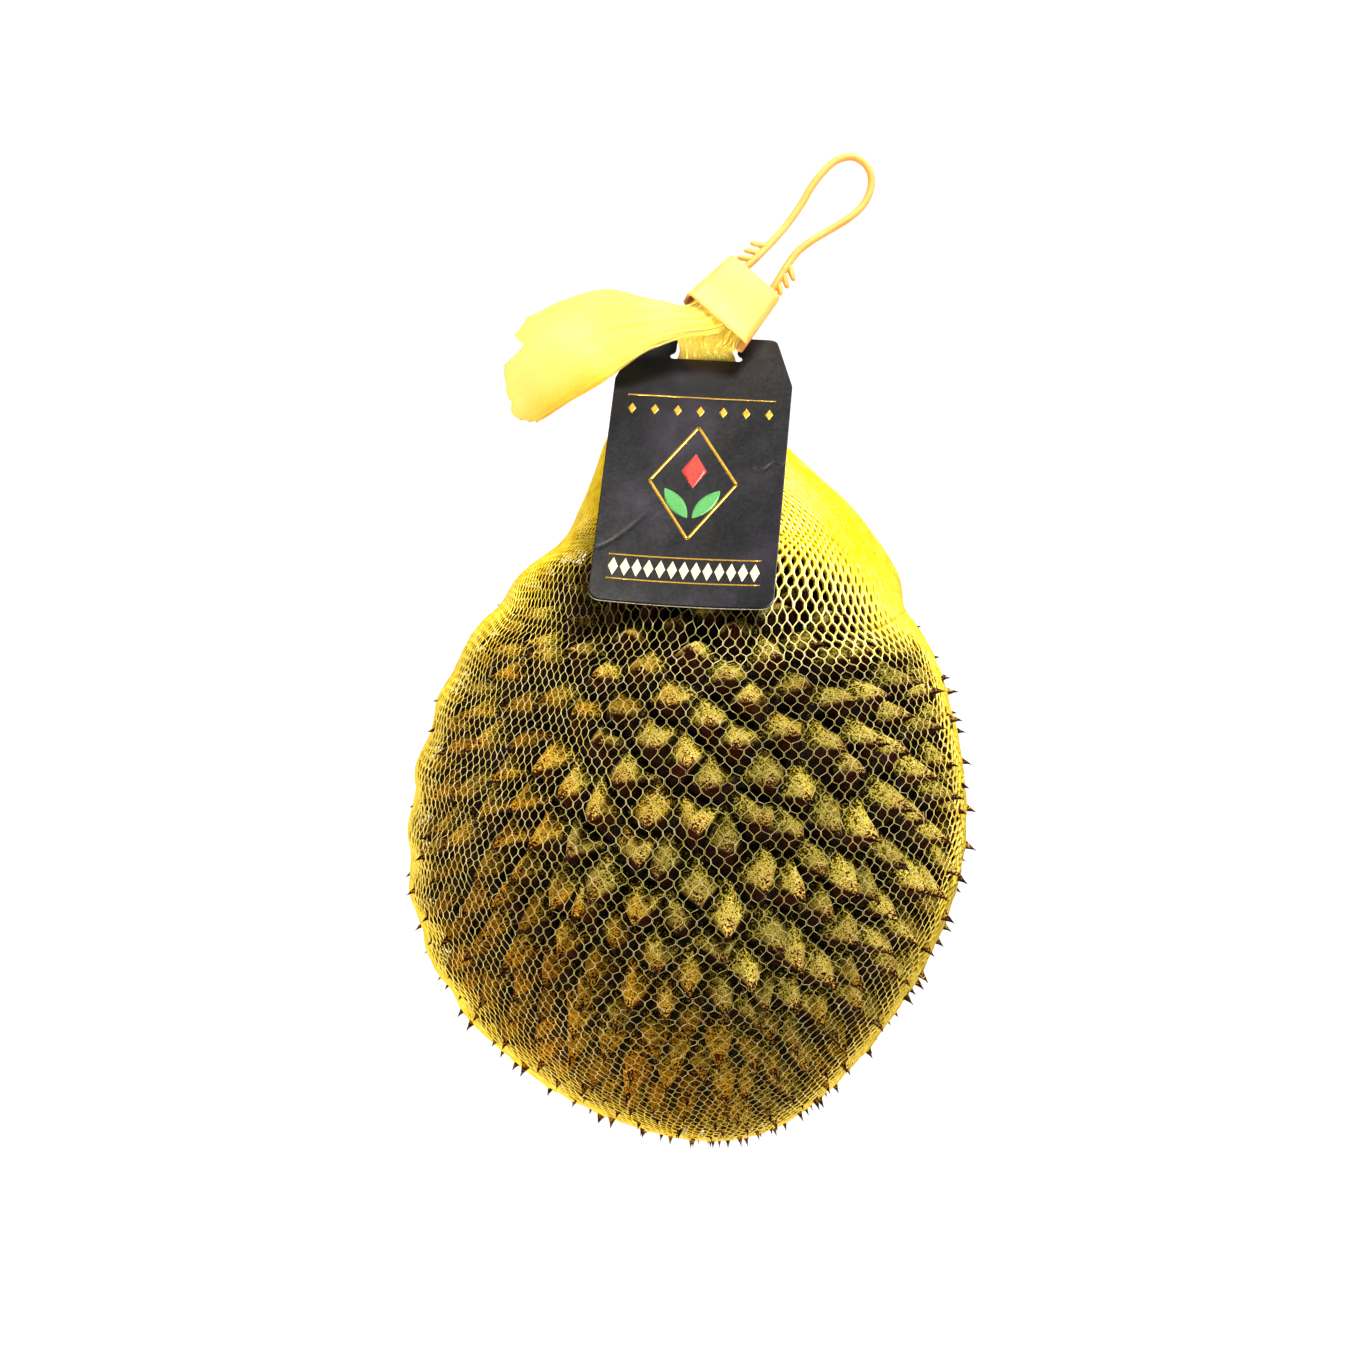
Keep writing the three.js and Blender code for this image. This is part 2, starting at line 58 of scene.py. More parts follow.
HUSK_HALF = np.array((86.8, 105.0, 85.0))
BLOSSOM_TAPER = 0.2
LOBES = 5
LOBE_DEPTH = 0.018
FRUIT_TILT = np.radians(6)
FRUIT_HEIGHT = 94.6
SPINES = 660
SPINE_LENGTH = 14.5
SPINE_CROWDING = 1.3
SPINE_JITTER = 0.03
SPINE_LEAN = 0.3
GOLDEN_ANGLE = np.pi * (3 - np.sqrt(5))
ROW_SHIFT = np.array((0.592, -63.082, 0.0))
FLANK_STEPS = np.array((0, 0.09, 0.22, 0.38, 0.56, 0.74, 0.9, 1.0))
FLANK_HOLLOW = (1.06, 1.62)
TIP_HOOK = 0.22


def draws(seed, count):
    """Repeatable random numbers from 0 to 1: each state is 1664525 times the last plus 1013904223, modulo
    2 to the 32nd."""
    state, out = seed, []
    for _ in range(count):
        state = (state * 1664525 + 1013904223) % 4294967296
        out.append(state / 4294967296)
    return np.array(out)


def unit(vectors):
    return vectors / np.maximum(np.linalg.norm(vectors, axis=-1, keepdims=True), 1e-9)


def husk_point(direction):
    """Crease-level point in a direction: an ellipsoid, narrower towards the blossom end, with five faint
    lobes round it and a sideways bend along it."""
    t = direction[..., 1]
    around = np.arctan2(direction[..., 0], direction[..., 2])
    lobe = 1 + LOBE_DEPTH * np.cos(LOBES * around + 0.6) * (1 - t * t)
    girth = lobe * np.where(t < 0, 1 - BLOSSOM_TAPER * t * t, 1)
    bend = np.where(t < 0, 18 * t**4 + 9 * t, 5 * t)
    return np.stack([
        HUSK_HALF[0] * direction[..., 0] * girth + bend, HUSK_HALF[1] * t,
        HUSK_HALF[2] * direction[..., 2] * girth], -1)


def husk_normal(direction):
    return unit(direction / HUSK_HALF)


def spine_length(t):
    """Spines are shorter towards both ends, by the fourth power of the distance along the fruit."""
    return SPINE_LENGTH * (1 - np.where(t < 0, 0.3, 0.34) * t**4)


def laid_down(points):
    """From the upright fruit's frame to where it lies: a small turn about X, then raised."""
    x, y, z = np.moveaxis(points, -1, 0)
    c, s = np.cos(FRUIT_TILT), np.sin(FRUIT_TILT)
    return np.stack([x, y * c - z * s, y * s + z * c + FRUIT_HEIGHT], -1)


def write_attribute(mesh, name, values, domain="POINT"):
    """Puts one number or one vector a point into the mesh."""
    vector = values.ndim == 2
    layer = mesh.attributes.new(name, "FLOAT_VECTOR" if vector else "FLOAT", domain)
    layer.data.foreach_set("vector" if vector else "value", values.astype(np.float32).ravel())


def crease_pattern(directions):
    """Creases run halfway between neighbouring spines. Three creases meet where a face of the directions'
    convex hull points. Each pair of neighbours shares the crease between two such corners, which is one
    wedge of each spine: the spine's number, and its right and left corner seen from outside."""
    mesh = bpy.data.meshes.new("spine_directions")
    mesh.from_pydata(directions.tolist(), [], [])
    hull = bmesh.new()
    hull.from_mesh(mesh)
    bmesh.ops.convex_hull(hull, input=hull.verts)
    hull.to_mesh(mesh)
    hull.free()
    faces = np.empty(len(mesh.polygons) * 3, np.int32)
    mesh.polygons.foreach_get("vertices", faces)
    bpy.data.meshes.remove(mesh)
    faces = faces.reshape(-1, 3).astype(int)
    a, b, c = np.moveaxis(directions[faces], 1, 0)
    normal = np.cross(b - a, c - a)
    inward = (normal * a).sum(1) < 0
    faces[inward] = faces[inward][:, ::-1]
    normal[inward] *= -1
    start = faces.T.ravel()
    end = np.roll(faces, -1, axis=1).T.ravel()
    left = np.tile(np.arange(len(faces)), 3)
    key = start * len(directions) + end
    order = key.argsort()
    right = left[order[np.searchsorted(key[order], end * len(directions) + start)]]
    return unit(normal), start, right, left


# Spine axes, by the same rule as the solid's: the stem's place first, then a golden-angle spiral
number = np.arange(1, SPINES)
share = 1 - (number + 1.2) / (SPINES + 1.2)
along = 2 * share**SPINE_CROWDING - 1
radius = np.sqrt(1 - along**2)
jitter = (draws(26, 3 * (SPINES - 1)).reshape(-1, 3) * 2 - 1) * SPINE_JITTER
spine_direction = unit(np.stack([
    radius * np.sin(number * GOLDEN_ANGLE), along, radius * np.cos(number * GOLDEN_ANGLE)], -1) + jitter)
spine_direction = np.vstack([[0, 1, 0], spine_direction])
corner_direction, wedge_spine, wedge_right, wedge_left = crease_pattern(spine_direction)
corner_place = husk_point(corner_direction)
spine_normal = husk_normal(spine_direction)
spine_foot = husk_point(spine_direction)
corner_reach = np.linalg.norm(corner_place[wedge_left] - spine_foot[wedge_spine], axis=1)
spine_reach = np.bincount(wedge_spine, corner_reach) / np.bincount(wedge_spine)
random = draws(719, 4 * SPINES - 1)
length_draw = np.concatenate([[0], random[3::4]])
lean_draw = np.vstack([random[:3], random[3:].reshape(-1, 4)[:, 1:]])
spine_size = spine_length(spine_direction[:, 1]) * (0.88 + 0.24 * length_draw)
spine_size[0] = 1
lean = (lean_draw * (2, 1, 2) - (1, 1.4, 1)) * (SPINE_LEAN * spine_reach)[:, None]
spine_axis = lean + spine_normal * (spine_size - (lean * spine_normal).sum(1))[:, None]

# Every wedge is a triangular grid from the crease up to the tip. Its width shrinks with a power of the
# distance left to the tip, a smaller one on the side towards the stem, so that this side is a full ramp and
# the other one is steep. Its cross section turns from the creases' polygon into a circle, and the tip hooks
# towards the blossom end with the square of the rise.
steps = len(FLANK_STEPS) - 1
row = np.concatenate([np.full(steps - i + 1, i) for i in range(steps + 1)])
column = np.concatenate([np.arange(steps - i + 1) for i in range(steps + 1)])
grid_start = np.concatenate([[0], np.arange(steps + 1, 0, -1).cumsum()])
inner = np.array([(grid_start[i] + j, grid_start[i] + j + 1, grid_start[i + 1] + j)
                  for i in range(steps) for j in range(steps - i)])
outer = np.array([(grid_start[i] + j + 1, grid_start[i + 1] + j + 1, grid_start[i + 1] + j)
                  for i in range(steps) for j in range(steps - i - 1)])
rise = FLANK_STEPS[row][None, :, None]
sweep = (column / np.maximum(steps - row, 1))[None, :, None]
foot = spine_foot[wedge_spine][:, None]
crease = corner_place[wedge_right][:, None] * (1 - sweep) + corner_place[wedge_left][:, None] * sweep
out = crease - foot
roundness = np.clip(rise * 1.15, 0, 1)
roundness = roundness * roundness * (3 - 2 * roundness)
reach = spine_reach[wedge_spine][:, None, None]
out = out * (1 - roundness + roundness * reach / np.linalg.norm(out, axis=2, keepdims=True))
side = unit(out)
stemward = side[..., 1:2] * np.ones_like(rise)
hollow = FLANK_HOLLOW[1] + (FLANK_HOLLOW[0] - FLANK_HOLLOW[1]) * np.clip(0.5 + 0.7 * stemward, 0, 1)
points = foot + spine_axis[wedge_spine][:, None] * rise + out * (1 - rise)**hollow
hook = unit(spine_normal * spine_normal[:, 1:2] - np.array((0, 1, 0)))[wedge_spine][:, None]
points += TIP_HOOK * reach * rise**2 * hook * (1 - spine_direction[wedge_spine, 1]**4)[:, None, None]
tone = draws(4711, SPINES)[wedge_spine]
points = points.reshape(-1, 3)

# Uneven growth: eighteen waves, 2.5 to 8 mm long, in set directions
wave = draws(55, 18 * 4).reshape(18, 4)
wave_vector = unit(wave[:, :3] * 2 - 1) * (2 * np.pi / (2.5 + 5.5 * wave[:, 3:]))
swelling = 0.1 * np.sin(points @ wave_vector.T + wave[:, 3] * 40).sum(1)
points += unit(points / HUSK_HALF**2) * (swelling * (1 - np.tile(rise.ravel(), len(wedge_spine))))[:, None]
faces = np.vstack([inner, outer])[None] + (np.arange(len(wedge_spine)) * len(row))[:, None, None]

# Tips that would pass the solids' box are flattened to it
points = np.clip(laid_down(points) + ROW_SHIFT, np.array(cad_low) * 1000, np.array(cad_high) * 1000)
loose_mesh = bpy.data.meshes.new("loose_wedges")
loose_mesh.from_pydata((points / 1000).tolist(), [], faces.reshape(-1, 3).tolist())
write_attribute(loose_mesh, "rise", np.tile(rise.ravel(), len(wedge_spine)))
write_attribute(loose_mesh, "tone", np.repeat(tone, len(row)))
write_attribute(loose_mesh, "flank", (side + tone[:, None, None] * 37).reshape(-1, 3))
write_attribute(loose_mesh, "stemward", stemward.ravel())
joined = bmesh.new()
joined.from_mesh(loose_mesh)
bmesh.ops.remove_doubles(joined, verts=joined.verts, dist=2e-6)
husk_mesh = bpy.data.meshes.new("durian_husk")
joined.to_mesh(husk_mesh)
joined.free()
bpy.data.meshes.remove(loose_mesh)
husk_mesh.shade_smooth()


def linear(text):
    """An sRGB hex colour as linear red, green, blue and full alpha."""
    value = np.array([int(text[i:i + 2], 16) for i in (1, 3, 5)]) / 255
    return (*np.where(value <= 0.04045, value / 12.92, ((value + 0.055) / 1.055)**2.4), 1.0)


def add_node(material, kind, settings=(), inputs=(), stops=()):
    """Adds one node with its settings, its inputs, each a value or another node's output, and the stops of
    its colour ramp, if it has one."""
    tree = material.node_tree
    node = tree.nodes.new("ShaderNode" + kind)
    for key, value in dict(settings).items():
        setattr(node, key, value)
    for key, value in dict(inputs).items():
        if isinstance(value, bpy.types.NodeSocket):
            tree.links.new(value, node.inputs[key])
        else:
            node.inputs[key].default_value = linear(value) if isinstance(value, str) else value
    if stops:
        for extra in range(len(stops) - 2):
            node.color_ramp.elements.new(0.5)
        for element, (position, text) in zip(node.color_ramp.elements, stops):
            element.position, element.color = position, linear(text)
    return node


def new_material(name):
    material = bpy.data.materials.new(name)
    material.use_nodes = True
    material.node_tree.nodes.clear()
    return material


def finish_material(material, inputs):
    shader = add_node(material, "BsdfPrincipled", inputs=inputs)
    add_node(material, "OutputMaterial", inputs={"Surface": shader.outputs[0]})


def object_place(material):
    return add_node(material, "TexCoord").outputs["Object"]


def attribute(material, name, output="Fac"):
    return add_node(material, "Attribute", {"attribute_name": name}).outputs[output]


def noise(material, place, scale, detail, roughness=0.5):
    """Cloudy noise. Its largest spots are the place's unit, a metre for an object's place, over scale."""
    return add_node(material, "TexNoise", inputs={
        "Vector": place, "Scale": scale, "Detail": detail, "Roughness": roughness}).outputs["Fac"]


def colours(material, value, stops):
    return add_node(material, "ValToRGB", inputs={"Fac": value}, stops=stops).outputs["Color"]


def times_plus(material, value, factor, more):
    return add_node(material, "Math", {"operation": "MULTIPLY_ADD"}, {
        0: value, 1: factor, 2: more}).outputs[0]


def between(material, value, low=0.0, high=1.0, start=0.0, stop=1.0):
    """Passes from low to high while the value passes from start to stop."""
    return add_node(material, "MapRange", inputs={
        "Value": value, "To Min": low, "To Max": high, "From Min": start, "From Max": stop}).outputs[0]


def mix(material, share, first, second):
    return add_node(material, "Mix", {"data_type": "RGBA"}, {0: share, 6: first, 7: second}).outputs[2]


def bumps(material, strength, distance, height):
    return add_node(material, "Bump", inputs={
        "Strength": strength, "Distance": distance, "Height": height}).outputs[0]


# Woody grown rind: near black down in the creases, which is painted shade, the sides towards the stem a
# granular straw yellow and the sides towards the blossom end smooth maroon, partly the husk's own colours
# and partly painted light and shade from a light at the stem end, and hard dark tips. The grain is 0.8 mm
# and the blotches 4 mm. Fibres run down the flanks, 1 mm apart at the foot. In patches 30 mm long, most of
# all to the left and at the blossom end, the straw turns to rust and the maroon to umber.
rind = new_material("grown_rind")
place = object_place(rind)
rise = attribute(rind, "rise")
tone = attribute(rind, "tone")
flank = attribute(rind, "flank", "Vector")
stemward_side = attribute(rind, "stemward")
fibre = noise(rind, flank, 7.0, 3.0)
grain = noise(rind, place, 1250.0, 4.0, 0.65)
patch = noise(rind, place, 34.0, 3.0)
blotch = noise(rind, place, 230.0, 3.0)
shift = times_plus(rind, grain, 2.7, -1.7)
shift = times_plus(rind, fibre, 0.16, shift)
shift = times_plus(rind, blotch, 0.7, shift)
level = add_node(rind, "Math", {"operation": "ADD"}, {0: rise, 1: shift}).outputs[0]
# The lowest stops of these ramps, near black where the level is lowest down in the creases, are painted
# shade.
straw = colours(rind, level, (
    (0.0, "#050404"), (0.14, "#110d05"), (0.27, "#5a4f09"), (0.42, "#b9a41a"), (0.64, "#fbf09c"),
    (0.85, "#97551a"), (1.0, "#2e0e09")))
rust = colours(rind, level, (
    (0.0, "#060303"), (0.14, "#160a03"), (0.3, "#4c2803"), (0.48, "#b27208"), (0.7, "#ecb022"),
    (0.85, "#6a2e0b"), (1.0, "#260b07")))
umber = colours(rind, level, (
    (0.0, "#050303"), (0.22, "#140a03"), (0.5, "#3e2405"), (0.76, "#61380a"), (0.9, "#381509"),
    (1.0, "#1c0806")))
maroon = colours(rind, level, (
    (0.0, "#050303"), (0.24, "#140907"), (0.5, "#3c160b"), (0.76, "#561f0e"), (0.9, "#36110b"),
    (1.0, "#190708")))
across_fruit, along_fruit, _ = add_node(rind, "SeparateXYZ", inputs={0: place}).outputs
at_left = between(rind, across_fruit, start=0.015, stop=-0.09)
at_blossom_end = between(rind, along_fruit, 0.0, 0.8, -0.08, -0.15)
rusty = add_node(rind, "Math", {"operation": "ADD"}, {0: at_left, 1: at_blossom_end}).outputs[0]
rusty = add_node(rind, "Math", {"operation": "ADD", "use_clamp": True}, {
    0: rusty, 1: times_plus(rind, patch, 2.4, -1.35)}).outputs[0]
# Painted light and shade over the husk's own colours: flanks facing the stem, towards the key light, take
# the straw and rust colours, and flanks facing the blossom end the darker maroon and umber.
lit_flank_colour = mix(rind, rusty, straw, rust)
shaded = times_plus(rind, blotch, 1.0, stemward_side)
shaded = between(rind, shaded, start=0.32, stop=0.85)
smooth = mix(rind, rusty, maroon, umber)
mixed = mix(rind, shaded, smooth, lit_flank_colour)
bright = times_plus(rind, tone, 0.66, 0.52)
mixed = add_node(rind, "HueSaturation", inputs={
    "Color": mixed, "Value": bright, "Saturation": 1.1}).outputs[0]
relief = times_plus(rind, fibre, 0.9, grain)
bump = bumps(rind, 0.9, 0.0013, relief)
rough = between(rind, shaded, 0.5, 0.75)
finish_material(rind, {
    "Base Color": mixed, "Roughness": rough, "IOR": 1.5, "Specular IOR Level": 0.22, "Normal": bump})


def new_object(name, data):
    item = bpy.data.objects.new(name, data)
    bpy.context.scene.collection.objects.link(item)
    return item


husk = new_object("durian_husk", husk_mesh)
husk_mesh.materials.append(rind)
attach(husk, "root")
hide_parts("husk")

# The knitted net: a tube of yellow polyethylene yarns, warp knitted so that neighbouring yarns cross over at
# short bonds and leave six-sided meshes. It is welded shut at the blossom end, lies over the spines with
# their tips through its meshes, and closes up into a tent on the way to the tag. In the tent and round the
# fruit's sides the yarns are thickened to a share of their spacing, so that the net looks dense there.

YARNS = 264
YARN_RADIUS = 0.115
TENT_COVER = 0.78
LIMB_COVER = 0.36
LEAST_TENT_RADIUS = 0.26
OFF_FLOOR = 0.03
YARN_SIDES = 3
BOND_GAP = (0.085, 0.27)
BOND_LENGTH = 1.5
COURSE = 2.8
NET_LEVEL = 0.73
NET_SLACK = (1.7, 2.6)
NET_RUCK = 0.9
RUCK_LENGTH = 21.0
CROWDING = (0.2, 0.12)
CROWD_AT = np.radians(-80)
TENT_CLOSES = (10.5, 6.0)
CLOSES_BEFORE_STEM = 12
WELD_TILT = np.radians(27.6)
WELD_SIDE = 0.08
LAST_PARALLEL = 0.735
SPINE_GIRTH = 0.21
SPINE_TENT = 0.5
TABLE_COLUMNS = 720

# The tent's rings: middle x, half width, top (y, z), bottom (y, z) and heading
TENT = np.array((
    (5.8, 67.6, 97, 156, 84, 23.5, 90), (9.6, 56.2, 106, 150.5, 100, 38.5, 90),
    (8.5, 48, 116, 143.5, 114, 60, 90), (4.5, 39, 127, 136.5, 127, 76, 90),
    (0, 28.5, 142, 127, 142, 90, 90), (1, 20, 153, 120.5, 154, 99, 90),
    (3.5, 13.5, 161, 115.6, 163, 106.5, 90), (5.3, 9.4, 168.2, 114.5, 170.9, 111.9, 84),
    (4.4, 9.8, 171.8, 118.9, 174.2, 115.6, 70)))
tent_place = np.stack([TENT[:, 0], (TENT[:, 2] + TENT[:, 4]) / 2, (TENT[:, 3] + TENT[:, 5]) / 2], -1)
tent_depth = np.hypot(TENT[:, 2] - TENT[:, 4], TENT[:, 3] - TENT[:, 5]) / 2
tent_pitch = np.arctan2(TENT[:, 4] - TENT[:, 2], TENT[:, 3] - TENT[:, 5])
tent_heading = np.radians(TENT[:, 6])


def band_frame(heading, pitch):
    """Along, across and down directions of a band that travels with this heading and pitch."""
    along = np.stack([np.cos(heading) * np.cos(pitch), np.sin(heading) * np.cos(pitch), np.sin(pitch)], -1)
    across = np.stack([np.sin(heading), -np.cos(heading), np.zeros_like(heading)], -1)
    return along, across, np.cross(along, across)


def sleeve_direction(s, phi):
    """Directions on circles round the Y axis, from the blossom end at s = 0 to the stem at 1. The whole
    pattern is turned down and sideways towards the weld, less and less with distance from it."""
    tilt = WELD_TILT * (1 - s)**2
    x = np.sin(np.pi * s) * np.sin(phi) + WELD_SIDE * (1 - s)**2
    y = -np.cos(np.pi * s)
    z = np.sin(np.pi * s) * np.cos(phi)
    return unit(np.stack(np.broadcast_arrays(
        x, y * np.cos(tilt) - z * np.sin(tilt), y * np.sin(tilt) + z * np.cos(tilt)), -1))


def hermite(knots, values, at):
    """A smooth curve through values at knots: cubic pieces whose slopes are those between each knot's two
    neighbours."""
    slopes = np.gradient(values, knots, axis=0)
    k = np.clip(np.searchsorted(knots, at, side="right") - 1, 0, len(knots) - 2)
    span = knots[k + 1] - knots[k]
    shape = (-1,) + (1,) * (values.ndim - 1)
    f = ((at - knots[k]) / span).reshape(shape)
    span = span.reshape(shape)
    return ((2 * f**3 - 3 * f**2 + 1) * values[k] + (f**3 - 2 * f**2 + f) * span * slopes[k]
            + (3 * f**2 - 2 * f**3) * values[k + 1] + (f**3 - f**2) * span * slopes[k + 1])


phi = np.arange(TABLE_COLUMNS) * 2 * np.pi / TABLE_COLUMNS
s = np.linspace(0.008, LAST_PARALLEL, 60)[:, None]
direction = sleeve_direction(s, phi)
left, along = np.maximum(-direction[..., 0], 0), direction[..., 1]
ruck = NET_RUCK * np.sin(2 * np.pi * HUSK_HALF[1] * along / RUCK_LENGTH + 0.8 + 2 * direction[..., 2])
stand_off = (NET_LEVEL * spine_length(along) + (NET_SLACK[0] + ruck) * left**2 * (1 - along**4)
             + NET_SLACK[1] * np.abs(direction[..., 0]) * np.exp(-((along - 0.62) / 0.16)**2))
over_fruit = laid_down(husk_point(direction) + husk_normal(direction) * stand_off[..., None])
_, across, down = band_frame(tent_heading, tent_pitch)
tent = (tent_place[:, None] + (across * TENT[:, 1:2])[:, None] * np.sin(phi)[:, None]
        - (down * tent_depth[:, None])[:, None] * np.cos(phi)[:, None])
rings = np.concatenate([over_fruit, tent[:8]])
knots = np.concatenate([[0], np.linalg.norm(np.diff(rings, axis=0), axis=2).mean(1).cumsum()])
fruit_reach = knots[len(over_fruit) - 1]
tent_reach = knots[-2]
table_rows = np.arange(0, knots[-1], 1.0)
table = hermite(knots, rings, table_rows)
lengthwise = np.gradient(table, axis=0)
sideways = (np.roll(table, -1, 1) - np.roll(table, 1, 1))
table_normal = unit(np.cross(sideways, lengthwise))

# Near the stem, where the sleeve stands well off the fruit, no spine holds its meshes open
c, s = np.cos(FRUIT_TILT), np.sin(FRUIT_TILT)
x, y, z = np.moveaxis(table, -1, 0)
upright = np.stack([x, y * c + (z - FRUIT_HEIGHT) * s, (z - FRUIT_HEIGHT) * c - y * s], -1)
stand_off = (np.linalg.norm(upright / HUSK_HALF, axis=-1) - 1) * HUSK_HALF.mean()
near_stem = np.clip((table_rows - fruit_reach) / CLOSES_BEFORE_STEM + 1, 0, 1)[:, None]
free_table = (np.clip((stand_off - TENT_CLOSES[0]) / TENT_CLOSES[1], 0, 1) * near_stem)[..., None]


def on_sleeve(phi, v, source):
    """Reads a table over the sleeve at angle phi and distance v, between its four nearest entries."""
    column = (phi / (2 * np.pi) * TABLE_COLUMNS) % TABLE_COLUMNS
    row = np.clip(v, 0, len(source) - 1.001)
    c, r = column.astype(int) % TABLE_COLUMNS, row.astype(int)
    fc, fr = (column - np.floor(column))[..., None], (row - r)[..., None]
    d = (c + 1) % TABLE_COLUMNS
    return ((source[r, c] * (1 - fc) + source[r, d] * fc) * (1 - fr)
            + (source[r + 1, c] * (1 - fc) + source[r + 1, d] * fc) * fr)


# Bonds: in each course every yarn joins its neighbour on one side, and in the next course the other one.
# Where the net has closed up, a bond draws its two yarns less far from their places.
courses = int((tent_reach - 2) / COURSE)
yarn = np.arange(YARNS)[:, None]
course = np.arange(courses)[None]
to_side = np.where((yarn + course) % 2 == 0, 1, -1)
bond = (yarn + np.where(to_side > 0, 0, -1)) % YARNS
shake = draws(97, YARNS * courses * 2).reshape(2, YARNS, courses)
bond_shift = (shake[0][bond, course] - 0.5) * 0.2
course_shift = (shake[1][bond, course] - 0.5) * 0.6
even = np.linspace(-np.pi, 3 * np.pi, 4001)
crowded = (even + CROWDING[0] * np.sin(even - CROWD_AT)
           + CROWDING[1] / 2 * np.sin(2 * (even - CROWD_AT)))
yarn_phi = np.interp(2 * np.pi * yarn / YARNS, crowded, even) + 0 * course
closed_up = on_sleeve(yarn_phi, course * COURSE + 0 * yarn, free_table)[..., 0]
index = yarn + to_side * (0.5 - BOND_GAP[0] - (BOND_GAP[1] - BOND_GAP[0]) * closed_up) + bond_shift
v = 2.5 + course * COURSE + course_shift
v = np.stack([v - BOND_LENGTH / 2, v + BOND_LENGTH / 2], -1).reshape(YARNS, -1)
index = np.repeat(index, 2, axis=1)
turn = 2 * np.pi * index / YARNS
turn = turn + (0.016 * np.sin(3 * turn + v / 21) + 0.012 * np.sin(5 * turn - v / 13 + 2)
               + 0.008 * np.sin(11 * turn + v / 7 + 1)) * np.clip(v / 40, 0, 1)
v = v + 1.3 * np.sin(4 * turn + 1) * np.sin(v / 29) + 0.8 * np.sin(9 * turn + v / 17)
net_phi = np.interp(turn, crowded, even)
net_v = np.clip(v, 0.5, tent_reach - 1)
net_points = on_sleeve(net_phi, net_v, table)
net_normal = unit(on_sleeve(net_phi, net_v, table_normal))

# Yarns slide off the spines to both sides, and are held up a little where they lean on them
spine_at_net = laid_down(spine_foot + spine_axis * NET_LEVEL)[1:]
flat = net_points.reshape(-1, 3)
gap = ((flat**2).sum(1)[:, None] + (spine_at_net**2).sum(1) - 2 * flat @ spine_at_net.T)
nearest = gap.argmin(1)
away = flat - spine_at_net[nearest]
normals = net_normal.reshape(-1, 3)
away -= normals * (away * normals).sum(1)[:, None]
reach = np.maximum(np.linalg.norm(away, axis=1), 0.05)
base = spine_reach[1:][nearest]
held = np.clip((base - reach) / (0.5 * base), 0, 1) * np.clip((fruit_reach - net_v.ravel()) / 8, 0, 1)
wider = (np.hypot(reach, SPINE_GIRTH * base) / reach - 1) * held
lift = SPINE_TENT * (np.exp(-(reach / (0.5 * base))**2) - 0.35) * held
net_points = (flat + away * wider[:, None] + normals * lift[:, None]).reshape(net_points.shape)
net_points[..., 2] = np.maximum(net_points[..., 2], YARN_RADIUS + OFF_FLOOR)


def tubes(paths, normals, radius, sides):
    """Round each path of points goes a ring of points of the given radius: the normal and the cross product
    of the path's direction with it carry the cosine and sine of an even turn. Ends are closed flat."""
    count, length, _ = paths.shape
    tangent = unit(np.gradient(paths, axis=1))
    normals = unit(normals - tangent * (normals * tangent).sum(-1)[..., None])
    angle = np.arange(sides) * 2 * np.pi / sides
    radius = np.broadcast_to(radius, (count, length))[..., None, None]
    points = (paths[:, :, None] + radius * (normals[:, :, None] * np.cos(angle)[:, None]
              + np.cross(tangent, normals)[:, :, None] * np.sin(angle)[:, None]))
    start = (np.arange(count)[:, None, None] * length + np.arange(length - 1)[None, :, None]) * sides
    one, two = np.arange(sides), (np.arange(sides) + 1) % sides
    quads = np.stack(np.broadcast_arrays(
        start + one, start + two, start + sides + two, start + sides + one), -1).reshape(-1, 4)
    first = np.arange(count)[:, None] * length * sides
    caps = [list(row) for row in first + np.arange(sides)[::-1]]
    caps += [list(row) for row in first + (length - 1) * sides + np.arange(sides)]
    return points.reshape(-1, 3), quads.tolist() + caps


def new_piece(name, points, faces, materials, uv=None, slots=None):
    """A smooth-shaded piece from points in millimetres, centred on the fruit, and faces. uv has one pair of
    numbers a point, and slots one material number a face."""
    mesh = bpy.data.meshes.new(name)
    mesh.from_pydata(((points + ROW_SHIFT) / 1000).tolist(), [], faces)
    for material in materials:
        mesh.materials.append(material)
    if slots is not None:
        mesh.polygons.foreach_set("material_index", np.asarray(slots, np.int32))
    if uv is not None:
        corners = np.empty(len(mesh.loops), np.int32)
        mesh.loops.foreach_get("vertex_index", corners)
        mesh.uv_layers.new(name="surface").data.foreach_set("uv", uv[corners].astype(np.float32).ravel())
    mesh.shade_smooth()
    piece = new_object(name, mesh)
    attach(piece, "root")
    return piece


# Dyed polyethylene yarn, drawn thin: smooth and a little waxy, with pale glints where it turns to the light.
# Where the net is pulled wide over the top of the fruit its yarns turn a pale straw: partly the paling of
# stretched yarn and partly a painted highlight, since only yarns that face up take it. Where it lies close,
# and on the fruit's sides, they keep their full yellow. The tone wanders a little every 4 mm.
yarn_stuff = new_material("drawn_polyethylene_yarn")
place = object_place(yarn_stuff)
stretch_and_highlight_share = attribute(yarn_stuff, "stretch_and_highlight")
uneven = noise(yarn_stuff, place, 260.0, 2.0)
full = colours(yarn_stuff, uneven, (
    (0.25, "#dbb60c"), (0.5, "#eed01c"), (0.75, "#fae650")))
straw = colours(yarn_stuff, uneven, (
    (0.25, "#c2b65c"), (0.5, "#ded48a"), (0.75, "#f7f0ca")))
yellow = mix(yarn_stuff, stretch_and_highlight_share, full, straw)
finish_material(yarn_stuff, {
    "Base Color": yellow, "Roughness": 0.32, "IOR": 1.51, "Coat Weight": 0.25, "Coat Roughness": 0.25})

